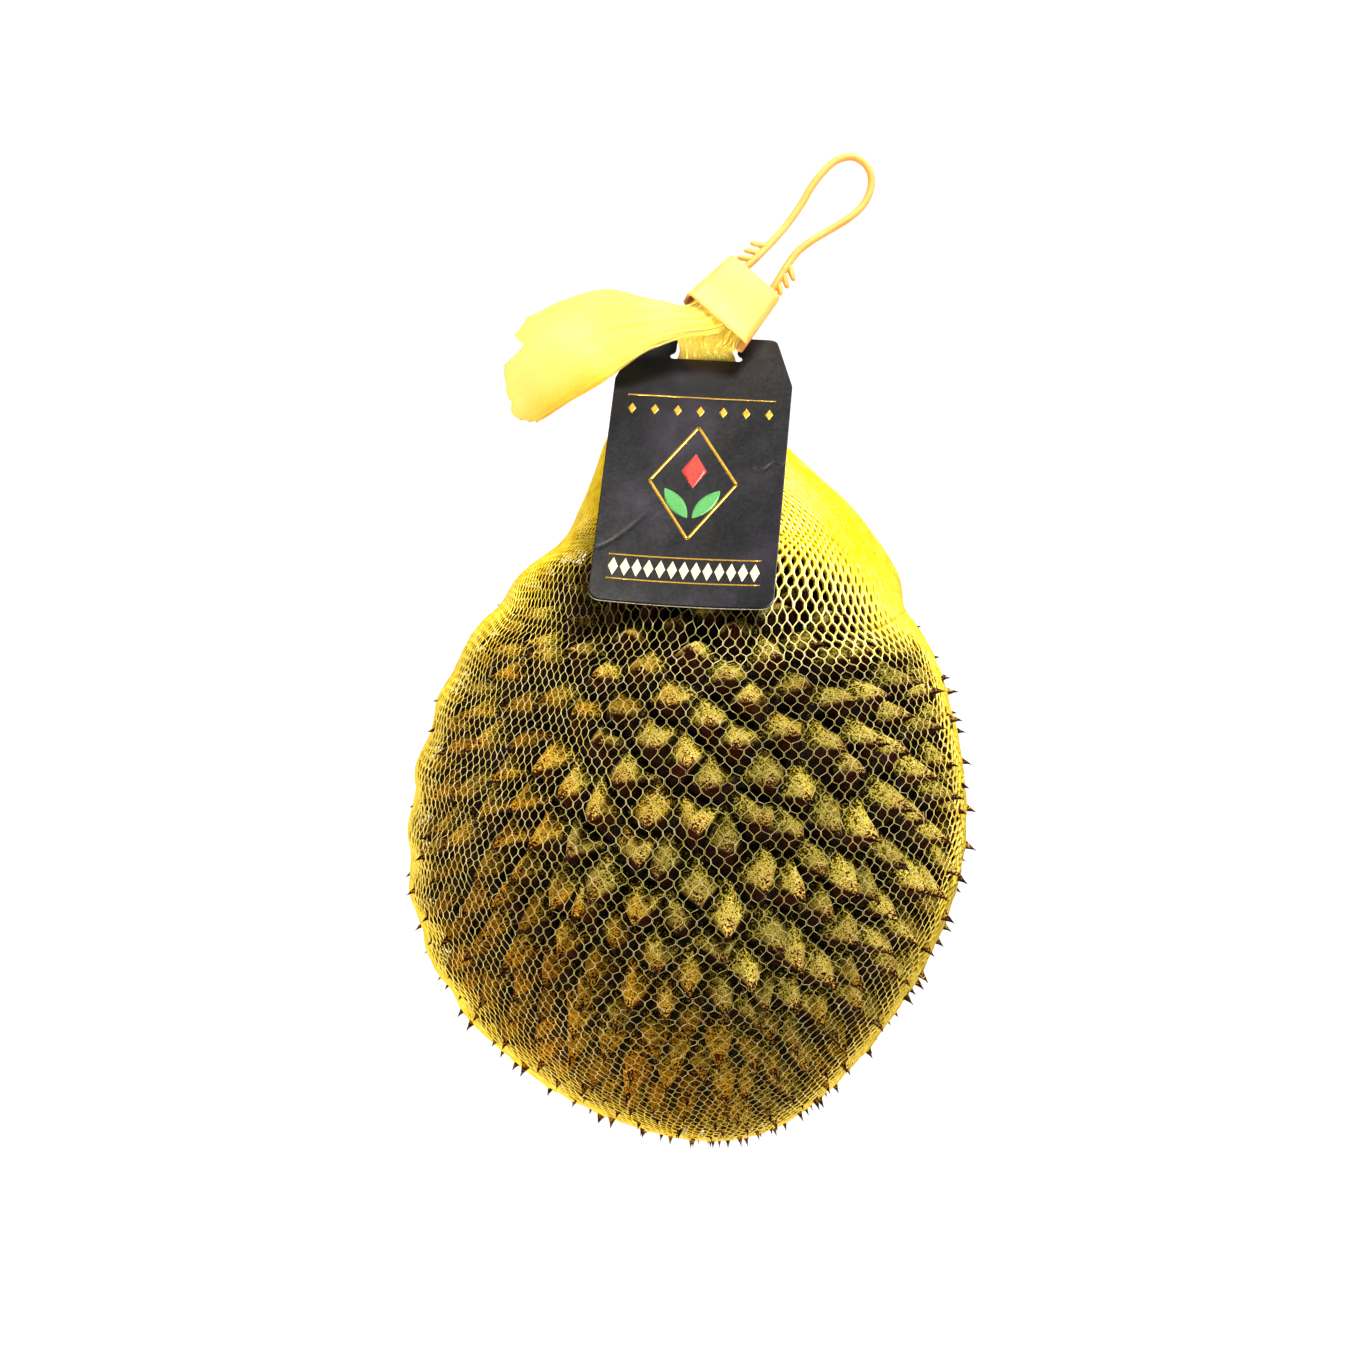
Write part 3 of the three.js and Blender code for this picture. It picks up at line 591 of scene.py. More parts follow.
spacing = np.linalg.norm(np.roll(net_points, -2, 0) - np.roll(net_points, 2, 0), axis=2) / 4
in_tent = on_sleeve(net_phi, net_v, free_table)[..., 0]
at_limb = np.clip((0.5 - np.abs(net_normal[..., 2])) / 0.35, 0, 1)
tent_radius = np.maximum(TENT_COVER * spacing, LEAST_TENT_RADIUS)
yarn_radius = np.maximum(YARN_RADIUS + (tent_radius - YARN_RADIUS) * in_tent,
                         YARN_RADIUS + (LIMB_COVER * spacing - YARN_RADIUS) * at_limb)
# Painted highlight: only yarns that face up turn pale, on top of the paling of stretched yarn.
top_highlight = np.clip(1.9 * net_normal[..., 2] - 0.35, 0, 1)
stretch_and_highlight = np.clip((spacing - 0.9) / 0.8, 0, 1) * (1 - in_tent) * top_highlight
fruit_end = 2 * int(np.ceil(fruit_reach / COURSE))
half_way = 2 * (fruit_end // 4)
for name, start, stop in (("net_blossom_half", 0, half_way), ("net_stem_half", half_way, fruit_end),
                          ("net_tent", fruit_end, net_points.shape[1])):
    part = slice(start, stop + 1)
    verts, faces = tubes(net_points[:, part], net_normal[:, part], yarn_radius[:, part], YARN_SIDES)
    net_part = new_piece(name, verts, faces, [yarn_stuff])
    write_attribute(net_part.data, "stretch_and_highlight", np.repeat(stretch_and_highlight[:, part].ravel(), YARN_SIDES))
    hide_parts("net_neck" if name == "net_tent" else "net_bag")

# The weld at the blossom end: the sleeve's cut end drawn together and melted into a small crimped button.

WELD_PLEATS = 11
WELD_COLUMNS = 66
WELD_PROFILE = np.array((
    (0.05, -1.6), (2.4, -1.6), (3.2, -0.6), (3.4, 0.2), (2.4, 1.2), (1.8, 2.2), (1.8, 3.2), (2.5, 4.0),
    (2.6, 4.5), (1.6, 4.9), (0.05, 4.9)))
weld_direction = sleeve_direction(np.array(0.0), np.array(0.0))
weld_normal = laid_down(husk_normal(weld_direction)) - laid_down(np.zeros(3))
weld_place = laid_down(husk_point(weld_direction)
                       + husk_normal(weld_direction) * NET_LEVEL * spine_length(weld_direction[1]))
weld_x = unit(np.cross(weld_normal, (1, 0, 0)))
weld_y = np.cross(weld_normal, weld_x)


def grid_faces(rows, columns):
    """Four-cornered faces of a grid that closes on itself across, with one face over each end."""
    r, c = np.meshgrid(np.arange(rows - 1), np.arange(columns), indexing="ij")
    d = (c + 1) % columns
    quads = np.stack([r * columns + c, r * columns + d, (r + 1) * columns + d, (r + 1) * columns + c], -1)
    ends = [list(range(columns))[::-1], list(range((rows - 1) * columns, rows * columns))]
    return quads.reshape(-1, 4).tolist() + ends


angle = np.arange(WELD_COLUMNS) * 2 * np.pi / WELD_COLUMNS
crimp = 1 + 0.07 * np.cos(WELD_PLEATS * angle)[None] * (WELD_PROFILE[:, :1] > 1)
spread = WELD_PROFILE[:, :1] * crimp
verts = (weld_place + spread[..., None] * (np.cos(angle)[:, None] * weld_x + np.sin(angle)[:, None] * weld_y)
         + WELD_PROFILE[:, 1][:, None, None] * weld_normal).reshape(-1, 3)
weld = new_piece("net_weld", verts, grid_faces(len(WELD_PROFILE), len(angle)), [yarn_stuff])
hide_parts("net_bag")

# The stalk: the woody stub that the fruit hung by, swollen where it parted from the branch. It stands on the
# fruit inside the tent of the net, where only its shape shows through the meshes.

STALK_MIDDLE = 5.0
STALK_COLUMNS = 48
STALK_PROFILE = np.array((
    (0.05, 97), (12.75, 97), (12.75, 104), (11.6, 106.4), (9.1, 110), (8.5, 116), (8.5, 123), (9.3, 127),
    (9.8, 130), (9.4, 132.4), (8.3, 135), (8.1, 137), (7.9, 138.6), (7.4, 139), (0.05, 139)))
angle = np.arange(STALK_COLUMNS) * 2 * np.pi / STALK_COLUMNS
knobs = 1 + 0.03 * np.cos(5 * angle + 1) + 0.02 * np.cos(9 * angle)
r, y = STALK_PROFILE[:, :1] * (1 + (knobs - 1) * (STALK_PROFILE[:, :1] < 12)), STALK_PROFILE[:, 1:]
verts = laid_down(np.stack([
    STALK_MIDDLE + r * np.sin(angle), y + 0 * angle, r * np.cos(angle)], -1)).reshape(-1, 3)

# Dry bark: grey-brown, with corky flecks 2 mm long
bark = new_material("dry_stalk_bark")
place = object_place(bark)
flecks = noise(bark, place, 500.0, 4.0)
brown = colours(bark, flecks, (
    (0.35, "#2a1c10"), (0.55, "#5c4727"), (0.7, "#8a7448")))
bump = bumps(bark, 0.7, 0.0006, flecks)
finish_material(bark, {
    "Base Color": brown, "Roughness": 0.85, "IOR": 1.45, "Normal": bump})
stalk = new_piece("durian_stalk", verts, grid_faces(len(STALK_PROFILE), len(angle)), [bark])
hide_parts("husk")

# The gathered net: all the yarns in one pleated bunch, from inside the tent through the tag's slot, into
# the collar, back over the clip's cross bar and out again as the loose tail with its torn end.

MOUTH_CENTRE = np.array((7.9, 179, 122.5))
CLIP_HEADING = np.radians(49)
CLIP_PITCH = np.radians(-12)
FOLD_AT = 13.0
FOLD_RADIUS = 3.2
BUNCH_COLUMNS = 280
BUNCH_STEP = 1.0
TORN_FROM = 42.0
TAIL_FROM = 62
TAIL_FADE = 22
clip_along, clip_across, clip_down = band_frame(CLIP_HEADING, CLIP_PITCH)


def clip_point(w, s, below):
    """A point in the clip's frame: across it, up it from the collar's mouth, and below its middle."""
    w, s, below = (np.asarray(a, float)[..., None] for a in (w, s, below))
    return MOUTH_CENTRE + clip_across * w + clip_along * s + clip_down * below


# Stations of the bunch: place, heading, pitch, half width, half depth and depth of pleats
lower = np.array(((-2.5, 9.6, 1.9, 1.6), (3, 8.8, 1.8, 1.2), (8, 7.6, 1.5, 0)))
fold = np.radians((0, 45, 90, 135, 180))
upper = np.array(((7.5, 7.6, 1.5, 0), (3, 7.8, 1.8, -1.9), (-2.5, 7.3, 2.1, -3.8)))
TAIL = np.array((
    (-5.6, 179.9, 127, 208, 0, 7.1, 2.6, 0.035), (-15, 178.4, 128.4, 188, 2, 9.0, 3, 0.026),
    (-26, 177, 126, 190, 20, 13.7, 3.4, 0.015), (-39, 173, 116, 202, 38, 16.2, 3.8, 0.011),
    (-52, 167.5, 102, 207, 45, 16.6, 3.6, 0.009), (-63.5, 162, 88, 208, 47, 17, 3.0, 0.009)))
bunch_place = np.vstack([
    tent_place[4:], clip_point(lower[:, 3], lower[:, 0], FOLD_RADIUS),
    clip_point(0, FOLD_AT + FOLD_RADIUS * (np.sin(fold) - 1), FOLD_RADIUS * np.cos(fold)),
    clip_point(upper[:, 3], upper[:, 0], -FOLD_RADIUS), TAIL[:, :3]])
bunch_heading = np.concatenate([tent_heading[4:], np.full(11, CLIP_HEADING), np.radians(TAIL[:, 3] - 180)])
bunch_pitch = np.concatenate([
    tent_pitch[4:], np.full(3, CLIP_PITCH), CLIP_PITCH + fold, np.full(3, CLIP_PITCH + np.pi),
    np.radians(180 + TAIL[:, 4])])
bunch_half = np.concatenate([
    TENT[4:7, 1] - 0.6, TENT[7:, 1], lower[:, 1], np.full(5, 5.8), upper[:, 1], TAIL[:, 5]])
bunch_depth = np.concatenate([
    tent_depth[4:7] - 0.6, tent_depth[7:], lower[:, 2], np.full(5, 1.4), upper[:, 2], TAIL[:, 6]])
bunch_pleat = np.concatenate([np.full(5, 0.05), np.full(11, 0.08), TAIL[:, 7]])
stations = np.column_stack([bunch_place, bunch_heading, bunch_pitch, bunch_half, bunch_depth, bunch_pleat])
knots = np.concatenate([[0], np.linalg.norm(np.diff(bunch_place, axis=0), axis=1).cumsum()])
run = np.arange(0, knots[-1], BUNCH_STEP)
x, y, z, heading, pitch, half, depth, pleat = hermite(knots, stations, run).T
angle = np.arange(BUNCH_COLUMNS) * 2 * np.pi / BUNCH_COLUMNS
bunch_along, across, down = band_frame(heading, pitch)
a, r = np.meshgrid(angle, run)
folds = (0.5 * np.sin(13 * a + 1.3 + r / 40) + 0.4 * np.sin(23 * a + 1.6 * np.sin(r / 11))
         + 0.16 * np.sin(41 * a - r / 30 + 2 * np.sin(r / 15)))
swell = 1 + pleat[:, None] * folds
spread_out = np.clip((r - run[-1] + TAIL_FROM) / TAIL_FADE, 0, 1)
ribs = 0.05 * np.sin(70 * a + 1.2 * np.sin(r / 5)) * (1 - 0.8 * spread_out)
spread = half[:, None] * swell + ribs
thick = depth[:, None] * swell + ribs
bunch = (np.stack([x, y, z], -1)[:, None] + across[:, None] * (spread * np.cos(a))[..., None]
         + down[:, None] * (thick * np.sin(a))[..., None])

# The torn end: how far each part of the width reaches past or short of the last station
TORN = np.array((
    (-1, -21), (-0.94, -19.4), (-0.87, -17), (-0.8, -10.9), (-0.7, -11.5), (-0.5, -13.4), (-0.44, -8),
    (-0.39, 0.4), (-0.2, 3.4), (-0.03, 4.4), (0.1, 6.2), (0.27, 7.2), (0.36, 6.4), (0.48, 9.0), (0.6, 9.4),
    (0.7, 8.4), (0.79, 5.2), (0.85, 4.8), (0.92, 1.2), (0.96, 1.0), (1, -4)))
torn = np.interp(np.cos(a) + 0.05 * np.sin(a), TORN[:, 0], TORN[:, 1])
ramp = np.clip((r - (run[-1] - TORN_FROM)) / TORN_FROM, 0, 1)**2
bunch += bunch_along[:, None] * (torn * ramp)[..., None]
thin = np.clip((run[-1] - r) / 9, 0.12, 1)
middle = np.stack([x, y, z], -1)[:, None] + bunch_along[:, None] * (torn * ramp)[..., None]
bunch -= down[:, None] * (((bunch - middle) * down[:, None]).sum(-1) * (1 - thin**0.6))[..., None]
faces = grid_faces(len(run), BUNCH_COLUMNS)[:-1]
edge = (len(run) - 1) * BUNCH_COLUMNS
one = np.arange(BUNCH_COLUMNS // 2)
zip_up = np.stack([edge + one, edge + one + 1, edge + (BUNCH_COLUMNS - one - 1) % BUNCH_COLUMNS,
                   edge + (BUNCH_COLUMNS - one) % BUNCH_COLUMNS], -1)
faces += [list(dict.fromkeys(face)) for face in zip_up.tolist()]
uv = np.stack([a / (2 * np.pi) * 80, r], -1).reshape(-1, 2)

# The same yarn lying close together: pale yellow where it is spread, and deep gold as painted shade down in
# the pleats, along the lower edge of the tail and near the collar's mouth. Yarns are drawn 0.7 mm apart in
# the neck and 1.2 mm apart in the tail.
gathered = new_material("gathered_polyethylene_net")
mapped = add_node(gathered, "UVMap", {"uv_map": "surface"}).outputs[0]
place = object_place(gathered)
pleat_painted_shade = attribute(gathered, "pleat")
collar_painted_shade = attribute(gathered, "collar")
stripes = add_node(gathered, "TexWave", {"bands_direction": "X"}, {
    "Vector": mapped, "Scale": 0.36, "Distortion": 2.2, "Detail": 2.0, "Detail Scale": 0.4}).outputs["Fac"]
rungs = add_node(gathered, "TexWave", {"bands_direction": "DIAGONAL"}, {
    "Vector": mapped, "Scale": 0.2, "Distortion": 3.0, "Detail": 2.0, "Detail Scale": 0.7}).outputs["Fac"]
knit = times_plus(gathered, rungs, 0.5, stripes)
patch = noise(gathered, place, 60.0, 3.0)
in_tail = attribute(gathered, "tail")
knit_shade = between(gathered, in_tail, 0.34, 0.07)
shade = times_plus(gathered, knit, knit_shade, pleat_painted_shade)
shade = times_plus(gathered, patch, 0.3, shade)
shade = add_node(gathered, "Math", {"operation": "SUBTRACT"}, {0: shade, 1: collar_painted_shade}).outputs[0]
pale = colours(gathered, shade, (
    (0.0, "#b87406"), (0.25, "#f0bb14"), (0.5, "#fbd63c"), (0.8, "#fbe374")))
knit_relief = between(gathered, in_tail, 0.8, 0.07)
bump = bumps(gathered, knit_relief, 0.0004, knit)
finish_material(gathered, {
    "Base Color": pale, "Roughness": 0.45, "IOR": 1.51, "Normal": bump, "Coat Weight": 0.15,
    "Coat Roughness": 0.3})
bundle = new_piece("net_bunch_and_tail", bunch.reshape(-1, 3), faces, [gathered], uv)
lower_edge = np.clip((np.cos(a) - 0.55) / 0.45, 0, 1)
write_attribute(bundle.data, "tail", spread_out.ravel())
# Painted shade: darker gold down in the folds of the bunch and along the lower edge of the tail.
write_attribute(bundle.data, "pleat", (
    0.52 * (1 - spread_out) + 0.3 * folds * (1 - 0.94 * spread_out)
    + (0.5 - 0.3 * lower_edge) * spread_out).ravel())
mouth = np.linalg.norm(bunch - MOUTH_CENTRE, axis=-1)
# Painted shade: darker near the collar's mouth, where the collar shades the neck.
write_attribute(bundle.data, "collar", np.clip(1.2 - mouth / 16, 0, 1).ravel() * 0.42)
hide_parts("net_neck")

# The clip's loop handle: one rod of apricot polypropylene, moulded as a closed loop whose legs pass up
# through the collar, with three barbs on the outside of each leg that stop the collar sliding back.

ROD_RADIUS = 1.35
ROD_SIDES = 16
BARB_RADIUS = 1.12
bar = FOLD_AT - FOLD_RADIUS
LOOP_PATH = np.array((
    (1, bar), (6.6, bar + 0.2), (8.3, bar + 2.5), (8.1, 18), (7, 25), (5.6, 33), (5, 40), (6.2, 47),
    (8.8, 55.5), (10.9, 63.5), (11.2, 70), (9.4, 76), (5.6, 80.3), (1, 81.5), (-3.3, 80.1), (-6.3, 75.5),
    (-7.2, 69.5), (-6.7, 62), (-5.2, 54), (-4.3, 46), (-4.1, 38), (-4.4, 30), (-4.9, 24), (-6, 18),
    (-6.7, bar + 2.5), (-5, bar + 0.2)))
BARB_LEGS = ((1, 5.6), (-1, -4.3))
BARB_AT = (27.0, 30.6, 34.2)
BARB_REACH = 5.4
BARB_DROP = 3.2
BARB_SIDES = 12

# The path is carried on past its end by its first points, so that both ends of the tube meet in one ring
extended = np.vstack([LOOP_PATH[-3:], LOOP_PATH, LOOP_PATH[:4]])
steps = np.arange(len(extended), dtype=float)
fine = np.linspace(3, 3 + len(LOOP_PATH), 420)
w, s = hermite(steps, extended, fine).T
rod_path = clip_point(w, s, 0)[None]
rod_normal = np.broadcast_to(-clip_down, rod_path.shape)
loop_verts, loop_faces = tubes(rod_path, rod_normal, ROD_RADIUS, ROD_SIDES)
barb_start = np.array([(leg + side * (BARB_AT[-1] - s) * 0.12, s)
                       for side, leg in BARB_LEGS for s in BARB_AT])
barb_end = np.array([(leg + side * BARB_REACH, s - BARB_DROP) for side, leg in BARB_LEGS for s in BARB_AT])
f = np.array((0, 0.25, 0.5, 0.7, 0.82, 0.9, 0.96, 0.99, 1.0))
middle = barb_start[:, None] * (1 - f[:, None]) + barb_end[:, None] * f[:, None]
barb_radius = BARB_RADIUS * np.array((1.15, 1.05, 0.98, 0.92, 0.84, 0.7, 0.48, 0.24, 0.05))
barb_path = clip_point(middle[..., 0], middle[..., 1], 0)
barb_normal = np.broadcast_to(-clip_down, barb_path.shape)
barb_verts, barb_faces = tubes(barb_path, barb_normal, barb_radius, BARB_SIDES)
loop_faces += [[i + len(loop_verts) for i in face] for face in barb_faces]

# Moulded polypropylene in a pale apricot: slightly translucent and satin, with faint flow marks 11 mm long
# and the soft orange-peel of the mould, 1 mm from bump to bump.
clip_stuff = new_material("moulded_polypropylene")
place = object_place(clip_stuff)
flow = noise(clip_stuff, place, 90.0, 3.0)
peel = noise(clip_stuff, place, 900.0, 1.0)
apricot = colours(clip_stuff, flow, (
    (0.3, "#dd9f4c"), (0.7, "#e8b064")))
rough = between(clip_stuff, flow, 0.48, 0.6)
bump = bumps(clip_stuff, 0.15, 0.0002, peel)
finish_material(clip_stuff, {
    "Base Color": apricot, "Roughness": rough, "IOR": 1.49, "Normal": bump, "Subsurface Weight": 0.25,
    "Subsurface Radius": (0.002, 0.0012, 0.0005), "Subsurface Scale": 1.0})
loop = new_piece("clip_loop_handle", np.vstack([loop_verts, barb_verts]), loop_faces, [clip_stuff])
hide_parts("clip_loop")

# The clip's collar: a moulded sleeve with rounded corners, wider at its mouth, pushed down over the legs
# to clamp the folded net. Its end is closed round the two legs.

COLLAR_LENGTH = 22.0
COLLAR_MOUTH = np.array((27.5, 14.0))
COLLAR_TOP = np.array((23.0, 12.5))
COLLAR_CORNER = 2.6
CORNER_STEPS = 10

# Profile: distance from the mouth, and distance in from the outside, from the inner ceiling down
# the inside, round the lip, up the outside and over the top
COLLAR_PROFILE = np.array((
    (20.8, 11.4), (20.8, 6), (20.8, 2.2), (20.5, 1.5), (19.8, 1.2), (10, 1.2), (0.6, 1.2), (0.15, 1.05),
    (0.0, 0.75), (0.0, 0.25), (0.12, 0.0), (0.5, -0.1), (1.6, -0.1), (1.9, 0.0), (10, 0.0), (20.6, 0.0),
    (21.2, 0.12), (21.7, 0.5), (21.95, 1.1), (22.0, 2.0), (22.0, 6), (22.0, 11.4)))
step = np.linspace(0, np.pi / 2, CORNER_STEPS)
turn = np.concatenate([step + quarter * np.pi / 2 for quarter in range(4)])
sign_w = np.repeat((1, -1, -1, 1), CORNER_STEPS)
sign_d = np.repeat((1, 1, -1, -1), CORNER_STEPS)
s, inset = COLLAR_PROFILE[:, :1], COLLAR_PROFILE[:, 1:]
width = (COLLAR_MOUTH[0] + (COLLAR_TOP[0] - COLLAR_MOUTH[0]) * s / COLLAR_LENGTH) / 2 - inset
thick = (COLLAR_MOUTH[1] + (COLLAR_TOP[1] - COLLAR_MOUTH[1]) * s / COLLAR_LENGTH) / 2 - inset
thick = np.maximum(thick, 0.05)
corner = np.minimum(np.maximum(COLLAR_CORNER - inset, 0.8), np.minimum(width, thick) * 0.98)
verts = clip_point(sign_w * (width - corner) + corner * np.cos(turn),
                   s + 0 * turn, sign_d * (thick - corner) + corner * np.sin(turn)).reshape(-1, 3)
collar = new_piece("clip_collar_sleeve", verts, grid_faces(len(COLLAR_PROFILE), len(turn)), [clip_stuff])
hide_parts("clip_collar")

# The tag: black laminated card, die cut with a slot that the net is threaded through, a little curled and
# creased by handling. The cut edge shows the white board. The card is rings that pass from the outline of
# the slot to the outline of the card, both measured from the slot's middle.

TAG_HALF = 31.25
TAG_FOOT = 105.5
TAG_HEAD = 10.5
TAG_CORNER = 4.0
TAG_TOP = 0.7
TAG_UNDER = 0.15
TAG_SLOT_CENTRE = np.array((5, 166.4, 115.4))
TAG_LEAN = np.radians(6)
TAG_SLOPE = np.radians(32.8)
TAG_ROLL = np.radians(5)
SLOT_MIDDLE = np.array((0, 3.8))
TAG_COLUMNS = 360
TAG_RINGS = 112
level = np.array((np.cos(TAG_LEAN), -np.sin(TAG_LEAN), 0))
tag_up = (np.cross((0, 0, 1), level) * np.cos(TAG_SLOPE) - np.array((0, 0, np.sin(TAG_SLOPE))))
tag_across = level * np.cos(TAG_ROLL) - np.cross(tag_up, level) * np.sin(TAG_ROLL)
tag_face = np.cross(tag_across, tag_up)


def card_lift(u, v):
    """How far the card stands off its flat: its two lower corners curl up with the square of the distance
    from its middle, a soft wave crosses it, and two creases are narrow grooves from its sides."""
    down_card = np.clip((-8 - v) / 97, 0, 1)
    curl = 1.5 * (u / TAG_HALF)**2 * down_card
    wave = 0.3 * np.sin(v / 14 + 0.8) * np.sin(u / 17 + 0.4) * down_card
    left = v + 84 - 17 * np.clip((u + 31) / 17, 0, 1.1)**1.4
    right = v + 46 - 0.3 * (u - 25) - 0.8 * np.sin(u)
    left_depth = 0.13 * np.clip((-14 - u) / 4, 0, 1)
    right_depth = 0.16 * np.clip((u - 20) / 2, 0, 1)
    return (curl + wave - left_depth * np.exp(-(left / 0.55)**2) - right_depth * np.exp(-(right / 0.5)**2))


def card_point(u, v, w):
    """A point of the card: across it, up it from the slot's lower edge, and off its back."""
    w = w + card_lift(u, v)
    return (TAG_SLOT_CENTRE + tag_across * u[..., None] + tag_up * v[..., None] + tag_face * w[..., None])


def arc(u, v, radius, start, stop):
    angle = np.radians(np.linspace(start, stop, 9))
    return np.stack([u + radius * np.cos(angle), v + radius * np.sin(angle)], -1)


def even_outline(corners, count):
    """Evenly spaced points along a closed outline."""
    closed = np.vstack([corners, corners[:1]])
    lengths = np.concatenate([[0], np.linalg.norm(np.diff(closed, axis=0), axis=1).cumsum()])
    even = np.linspace(0, lengths[-1], count, endpoint=False)
    return np.stack([np.interp(even, lengths, closed[:, k]) for k in (0, 1)], -1)


def polar(corners, angles):
    """Distance of a closed outline from the slot's middle, in each direction."""
    at = even_outline(corners, 4000) - SLOT_MIDDLE
    return np.interp(angles, np.arctan2(at[:, 1], at[:, 0]), np.hypot(at[:, 0], at[:, 1]), period=2 * np.pi)


head = np.array(((TAG_HALF, -10), (25.2, 8.0), (24.6, 9.4), (23.6, 10.2), (22.05, TAG_HEAD)))
card_outline = np.vstack([
    arc(TAG_HALF - TAG_CORNER, -TAG_FOOT + TAG_CORNER, TAG_CORNER, -90, 0), head,
    head[::-1] * (-1, 1), arc(-TAG_HALF + TAG_CORNER, -TAG_FOOT + TAG_CORNER, TAG_CORNER, 180, 270)])
slot_outline = np.vstack([
    ((10.7, 7.6), (-10.7, 7.6), (-10.9, 3.4)), arc(-11.6, 1.2, 1.2, 90, 270), arc(11.6, 1.2, 1.2, -90, 90),
    ((10.9, 3.4),)])
rim = even_outline(card_outline, TAG_COLUMNS)
bearing = np.arctan2(*(rim - SLOT_MIDDLE).T[::-1])
hole = SLOT_MIDDLE + polar(slot_outline, bearing)[:, None] * np.stack([np.cos(bearing), np.sin(bearing)], -1)
f = np.linspace(0, 1, TAG_RINGS)[:, None, None]
sheet = hole * (1 - f) + rim * f
face_side = card_point(sheet[..., 0], sheet[..., 1], np.full(sheet.shape[:2], TAG_TOP))
back_side = card_point(sheet[..., 0], sheet[..., 1], np.full(sheet.shape[:2], TAG_UNDER))
verts = np.concatenate([face_side, back_side[::-1]])
loops, columns = verts.shape[:2]
r, c = np.meshgrid(np.arange(loops), np.arange(columns), indexing="ij")
q, d = (r + 1) % loops, (c + 1) % columns
quads = np.stack([r * columns + c, q * columns + c, q * columns + d, r * columns + d], -1)
is_rim = (r == TAG_RINGS - 1) | (r == loops - 1)

# Black ink under a thin glossy film on paper board: deep, a little blue, with soft violet-grey patches over
# 20 mm that are a painted sheen, and fine rubbed marks.
film = new_material("laminated_black_card")
place = object_place(film)
ripple_and_sheen = noise(film, place, 45.0, 2.0)
rubbed = noise(film, place, 700.0, 5.0, 0.7)
# The lighter violet-grey stops of this ramp are a painted sheen.
ink = colours(film, ripple_and_sheen, (
    (0.36, "#090a0f"), (0.5, "#0f1017"), (0.62, "#1d1b25"), (0.76, "#322d39")))
rough = between(film, rubbed, 0.24, 0.44)
relief = times_plus(film, rubbed, 0.06, ripple_and_sheen)
bump = bumps(film, 0.35, 0.0012, relief)
finish_material(film, {
    "Base Color": ink, "Roughness": rough, "IOR": 1.5, "Normal": bump})

# The board's cut edge: white fibres, a little grey from the blade.
board = new_material("cut_white_board")
place = object_place(board)
fibres = noise(board, place, 1500.0, 2.0)
white = colours(board, fibres, (
    (0.3, "#8f8a80"), (0.7, "#d8d2c4")))
finish_material(board, {"Base Color": white, "Roughness": 0.9})
tag = new_piece("tag_card", verts.reshape(-1, 3), quads.reshape(-1, 4).tolist(), [film, board],
                slots=is_rim.ravel())
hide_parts("hang_tag")

# The print: plain foil and ink shapes pressed on the card. A line over a row of small lozenges, a large
# lozenge frame round a red lozenge and two leaves, and a row of lozenges between two lines at the foot.

INK_HEIGHT = 0.05


def plate(u, v):
    """A thin plate over a grid of card places: its upper sheet, its lower sheet and the wall between."""
    rows, columns = u.shape
    points = np.concatenate([card_point(u, v, np.full(u.shape, TAG_TOP + lift)).reshape(-1, 3)
                             for lift in (INK_HEIGHT, -0.02)])
    r, c = np.meshgrid(np.arange(rows - 1), np.arange(columns - 1), indexing="ij")
    a = (r * columns + c).ravel()
    top = np.stack([a, a + 1, a + columns + 1, a + columns], -1)
    number = np.arange(rows * columns).reshape(rows, columns)
    ring = np.concatenate([number[0], number[1:, -1], number[-1, -2::-1], number[-2:0:-1, 0]])
    after = np.roll(ring, -1)
    under = rows * columns
    wall = np.stack([after, ring, ring + under, after + under], -1)
    return points, np.vstack([top, top[:, ::-1] + under, wall])


def bar_plate(u0, v0, u1, v1, half_width, cells=24):
    """A straight bar from one place to another."""
    f = np.linspace(0, 1, cells)[None]
    side = np.array((-half_width, half_width))[:, None]
    length = np.hypot(u1 - u0, v1 - v0)
    return plate(u0 + (u1 - u0) * f - (v1 - v0) / length * side,
                 v0 + (v1 - v0) * f + (u1 - u0) / length * side)


def leaf_plate(u, v, length, width, turn, power=0.8):
    """A leaf, whose width follows a power of the sine, or a lozenge where power is 0."""
    f = np.linspace(0, 1, 25)[None]
    side = np.linspace(-1, 1, 7)[:, None]
    half = np.sin(np.pi * f)**power if power else 1 - np.abs(2 * f - 1)
    x, y = (f - 0.5) * length + 0 * side, side * half * width / 2
    return plate(u + x * np.cos(turn) - y * np.sin(turn), v + x * np.sin(turn) + y * np.cos(turn))


UPRIGHT = np.pi / 2
gold_plates = [
    bar_plate(-26, -17, 26, -17, 0.3), bar_plate(-26, -96, 26, -96, 0.3), bar_plate(-26, -86, 26, -86, 0.3),
    *[leaf_plate(u, -23, 4.6, 3.0, UPRIGHT, 0) for u in np.arange(-24, 25, 8)],
    *[bar_plate(u0, v0, u1, v1, 0.55) for u0, v0, u1, v1 in (
        (0, -30, 15, -54), (15, -54, 0, -78), (0, -78, -15, -54), (-15, -54, 0, -30))],
]
cream_plates = [leaf_plate(u, -91, 7.4, 3.4, UPRIGHT, 0) for u in np.arange(-24, 24.1, 4)]
red_plates = [leaf_plate(0, -49, 15, 9, UPRIGHT, 0)]
green_plates = [leaf_plate(side * 5.2, -63, 15, 5.6, UPRIGHT + side * -0.62) for side in (-1, 1)]
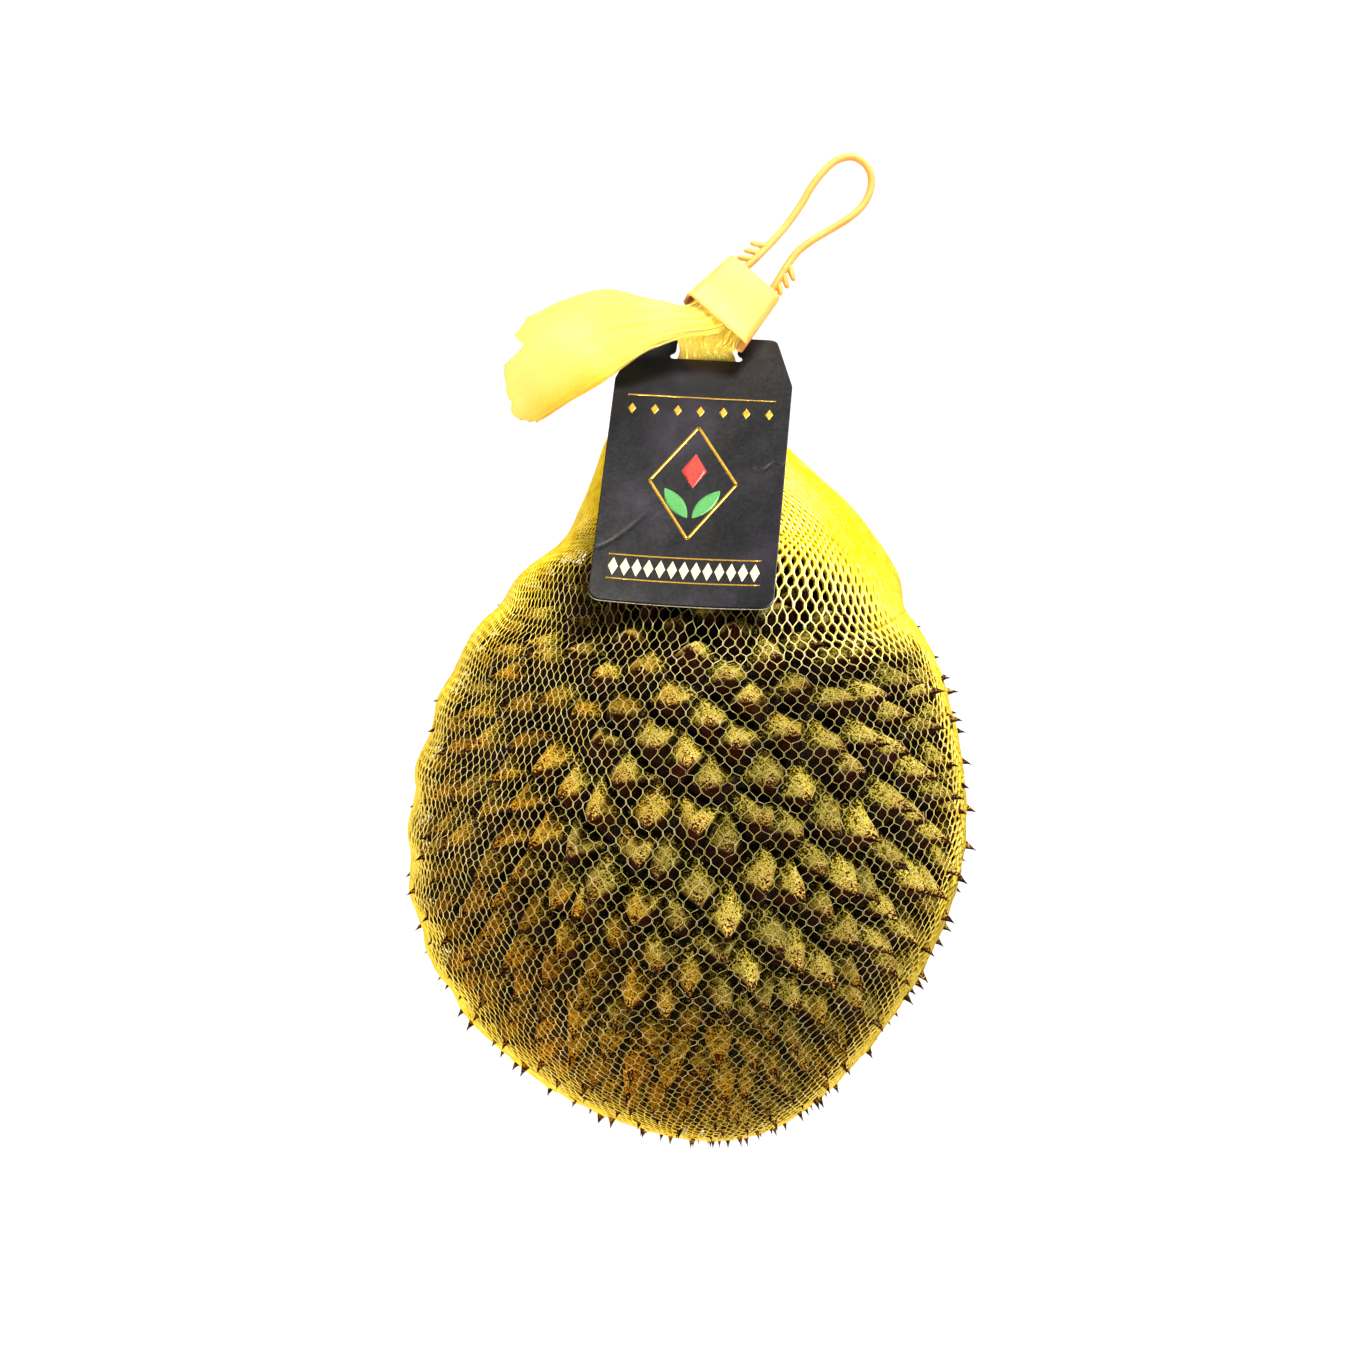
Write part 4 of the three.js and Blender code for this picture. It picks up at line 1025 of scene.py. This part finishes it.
for name, text, metal, plates in (
        ("gold", "#cfa748", 0.75, gold_plates), ("cream", "#efe2b8", 0.0, cream_plates),
        ("red", "#a83c34", 0.0, red_plates), ("green", "#549a58", 0.0, green_plates)):
    # Hot-pressed foil for the gold, opaque ink for the rest, both with fine rub marks
    ink = new_material(name + "_print")
    place = object_place(ink)
    worn = noise(ink, place, 900.0, 4.0)
    tint = add_node(ink, "HueSaturation", inputs={
        "Color": linear(text), "Value": between(ink, worn, 0.8, 1.15)}).outputs[0]
    rough = between(ink, worn, 0.25, 0.5)
    finish_material(ink, {
        "Base Color": tint, "Roughness": rough, "Metallic": metal})
    verts, faces, count = [], [], 0
    for points, quads in plates:
        verts.append(points)
        faces.append(quads + count)
        count += len(points)
    printed = new_piece("tag_print_" + name, np.vstack(verts), np.vstack(faces).tolist(), [ink])

# The studio: a plain pale floor, a soft light over the stem end to the right, two weaker ones from the left
# and from the blossom end, a small narrow one on the gathered neck, and the camera straight above, as the
# photo was taken.

FLOOR_HALF = 3.0
CAMERA_PLACE = (-0.00537, -0.00747, 1.2)
CAMERA_LENS = 81.85
floor_mesh = bpy.data.meshes.new("studio_floor")
corners = np.array(((-1, -1), (1, -1), (1, 1), (-1, 1))) * FLOOR_HALF
floor_mesh.from_pydata([(x, y, -0.0005) for x, y in corners.tolist()], [], [(0, 1, 2, 3)])
floor = new_object("studio_floor", floor_mesh)

# A white light table: acrylic lit from below, so that shadows on it are nearly drowned.
table_top = new_material("lit_white_acrylic")
finish_material(table_top, {
    "Base Color": "#737272", "Roughness": 0.9, "Emission Color": "#fffdfe", "Emission Strength": 0.76})
floor_mesh.materials.append(table_top)

WHOLE, NECK = (0.0, -0.05, 0.09), (0.004, 0.106, 0.12)
for name, place, aim, size, power, spread, text in (
        ("key_light", (0.45, 1.05, 0.85), WHOLE, 0.36, 30.0, 180, "#fffaf0"),
        ("left_light", (-1.1, -0.1, 0.35), WHOLE, 0.5, 9.0, 180, "#fff4e0"),
        ("foot_light", (0.1, -1.0, 0.75), WHOLE, 0.5, 11.0, 180, "#fff4e0"),
        ("neck_light", (-0.05, -0.15, 0.75), NECK, 0.05, 0.016, 9, "#fffaf0")):
    light_data = bpy.data.lights.new(name, "AREA")
    light_data.energy, light_data.size, light_data.color = power, size, linear(text)[:3]
    light_data.spread = np.radians(spread)
    light = new_object(name, light_data)
    light.location = place
    aim = np.array(aim) - place
    light.rotation_euler = (np.arccos(-aim[2] / np.linalg.norm(aim)), 0, np.arctan2(aim[0], -aim[1]) + np.pi)

world = bpy.data.worlds.new("studio")
world.use_nodes = True
background = world.node_tree.nodes["Background"]
background.inputs["Color"].default_value = linear("#ffffff")
background.inputs["Strength"].default_value = 0.11
bpy.context.scene.world = world
bpy.context.scene.view_settings.view_transform = "Standard"
bpy.context.scene.view_settings.look = "Medium High Contrast"

camera_data = bpy.data.cameras.new("camera")
camera_data.lens = CAMERA_LENS
camera_data.clip_end = 20
camera = new_object("camera", camera_data)
camera.location = CAMERA_PLACE
bpy.context.scene.camera = camera
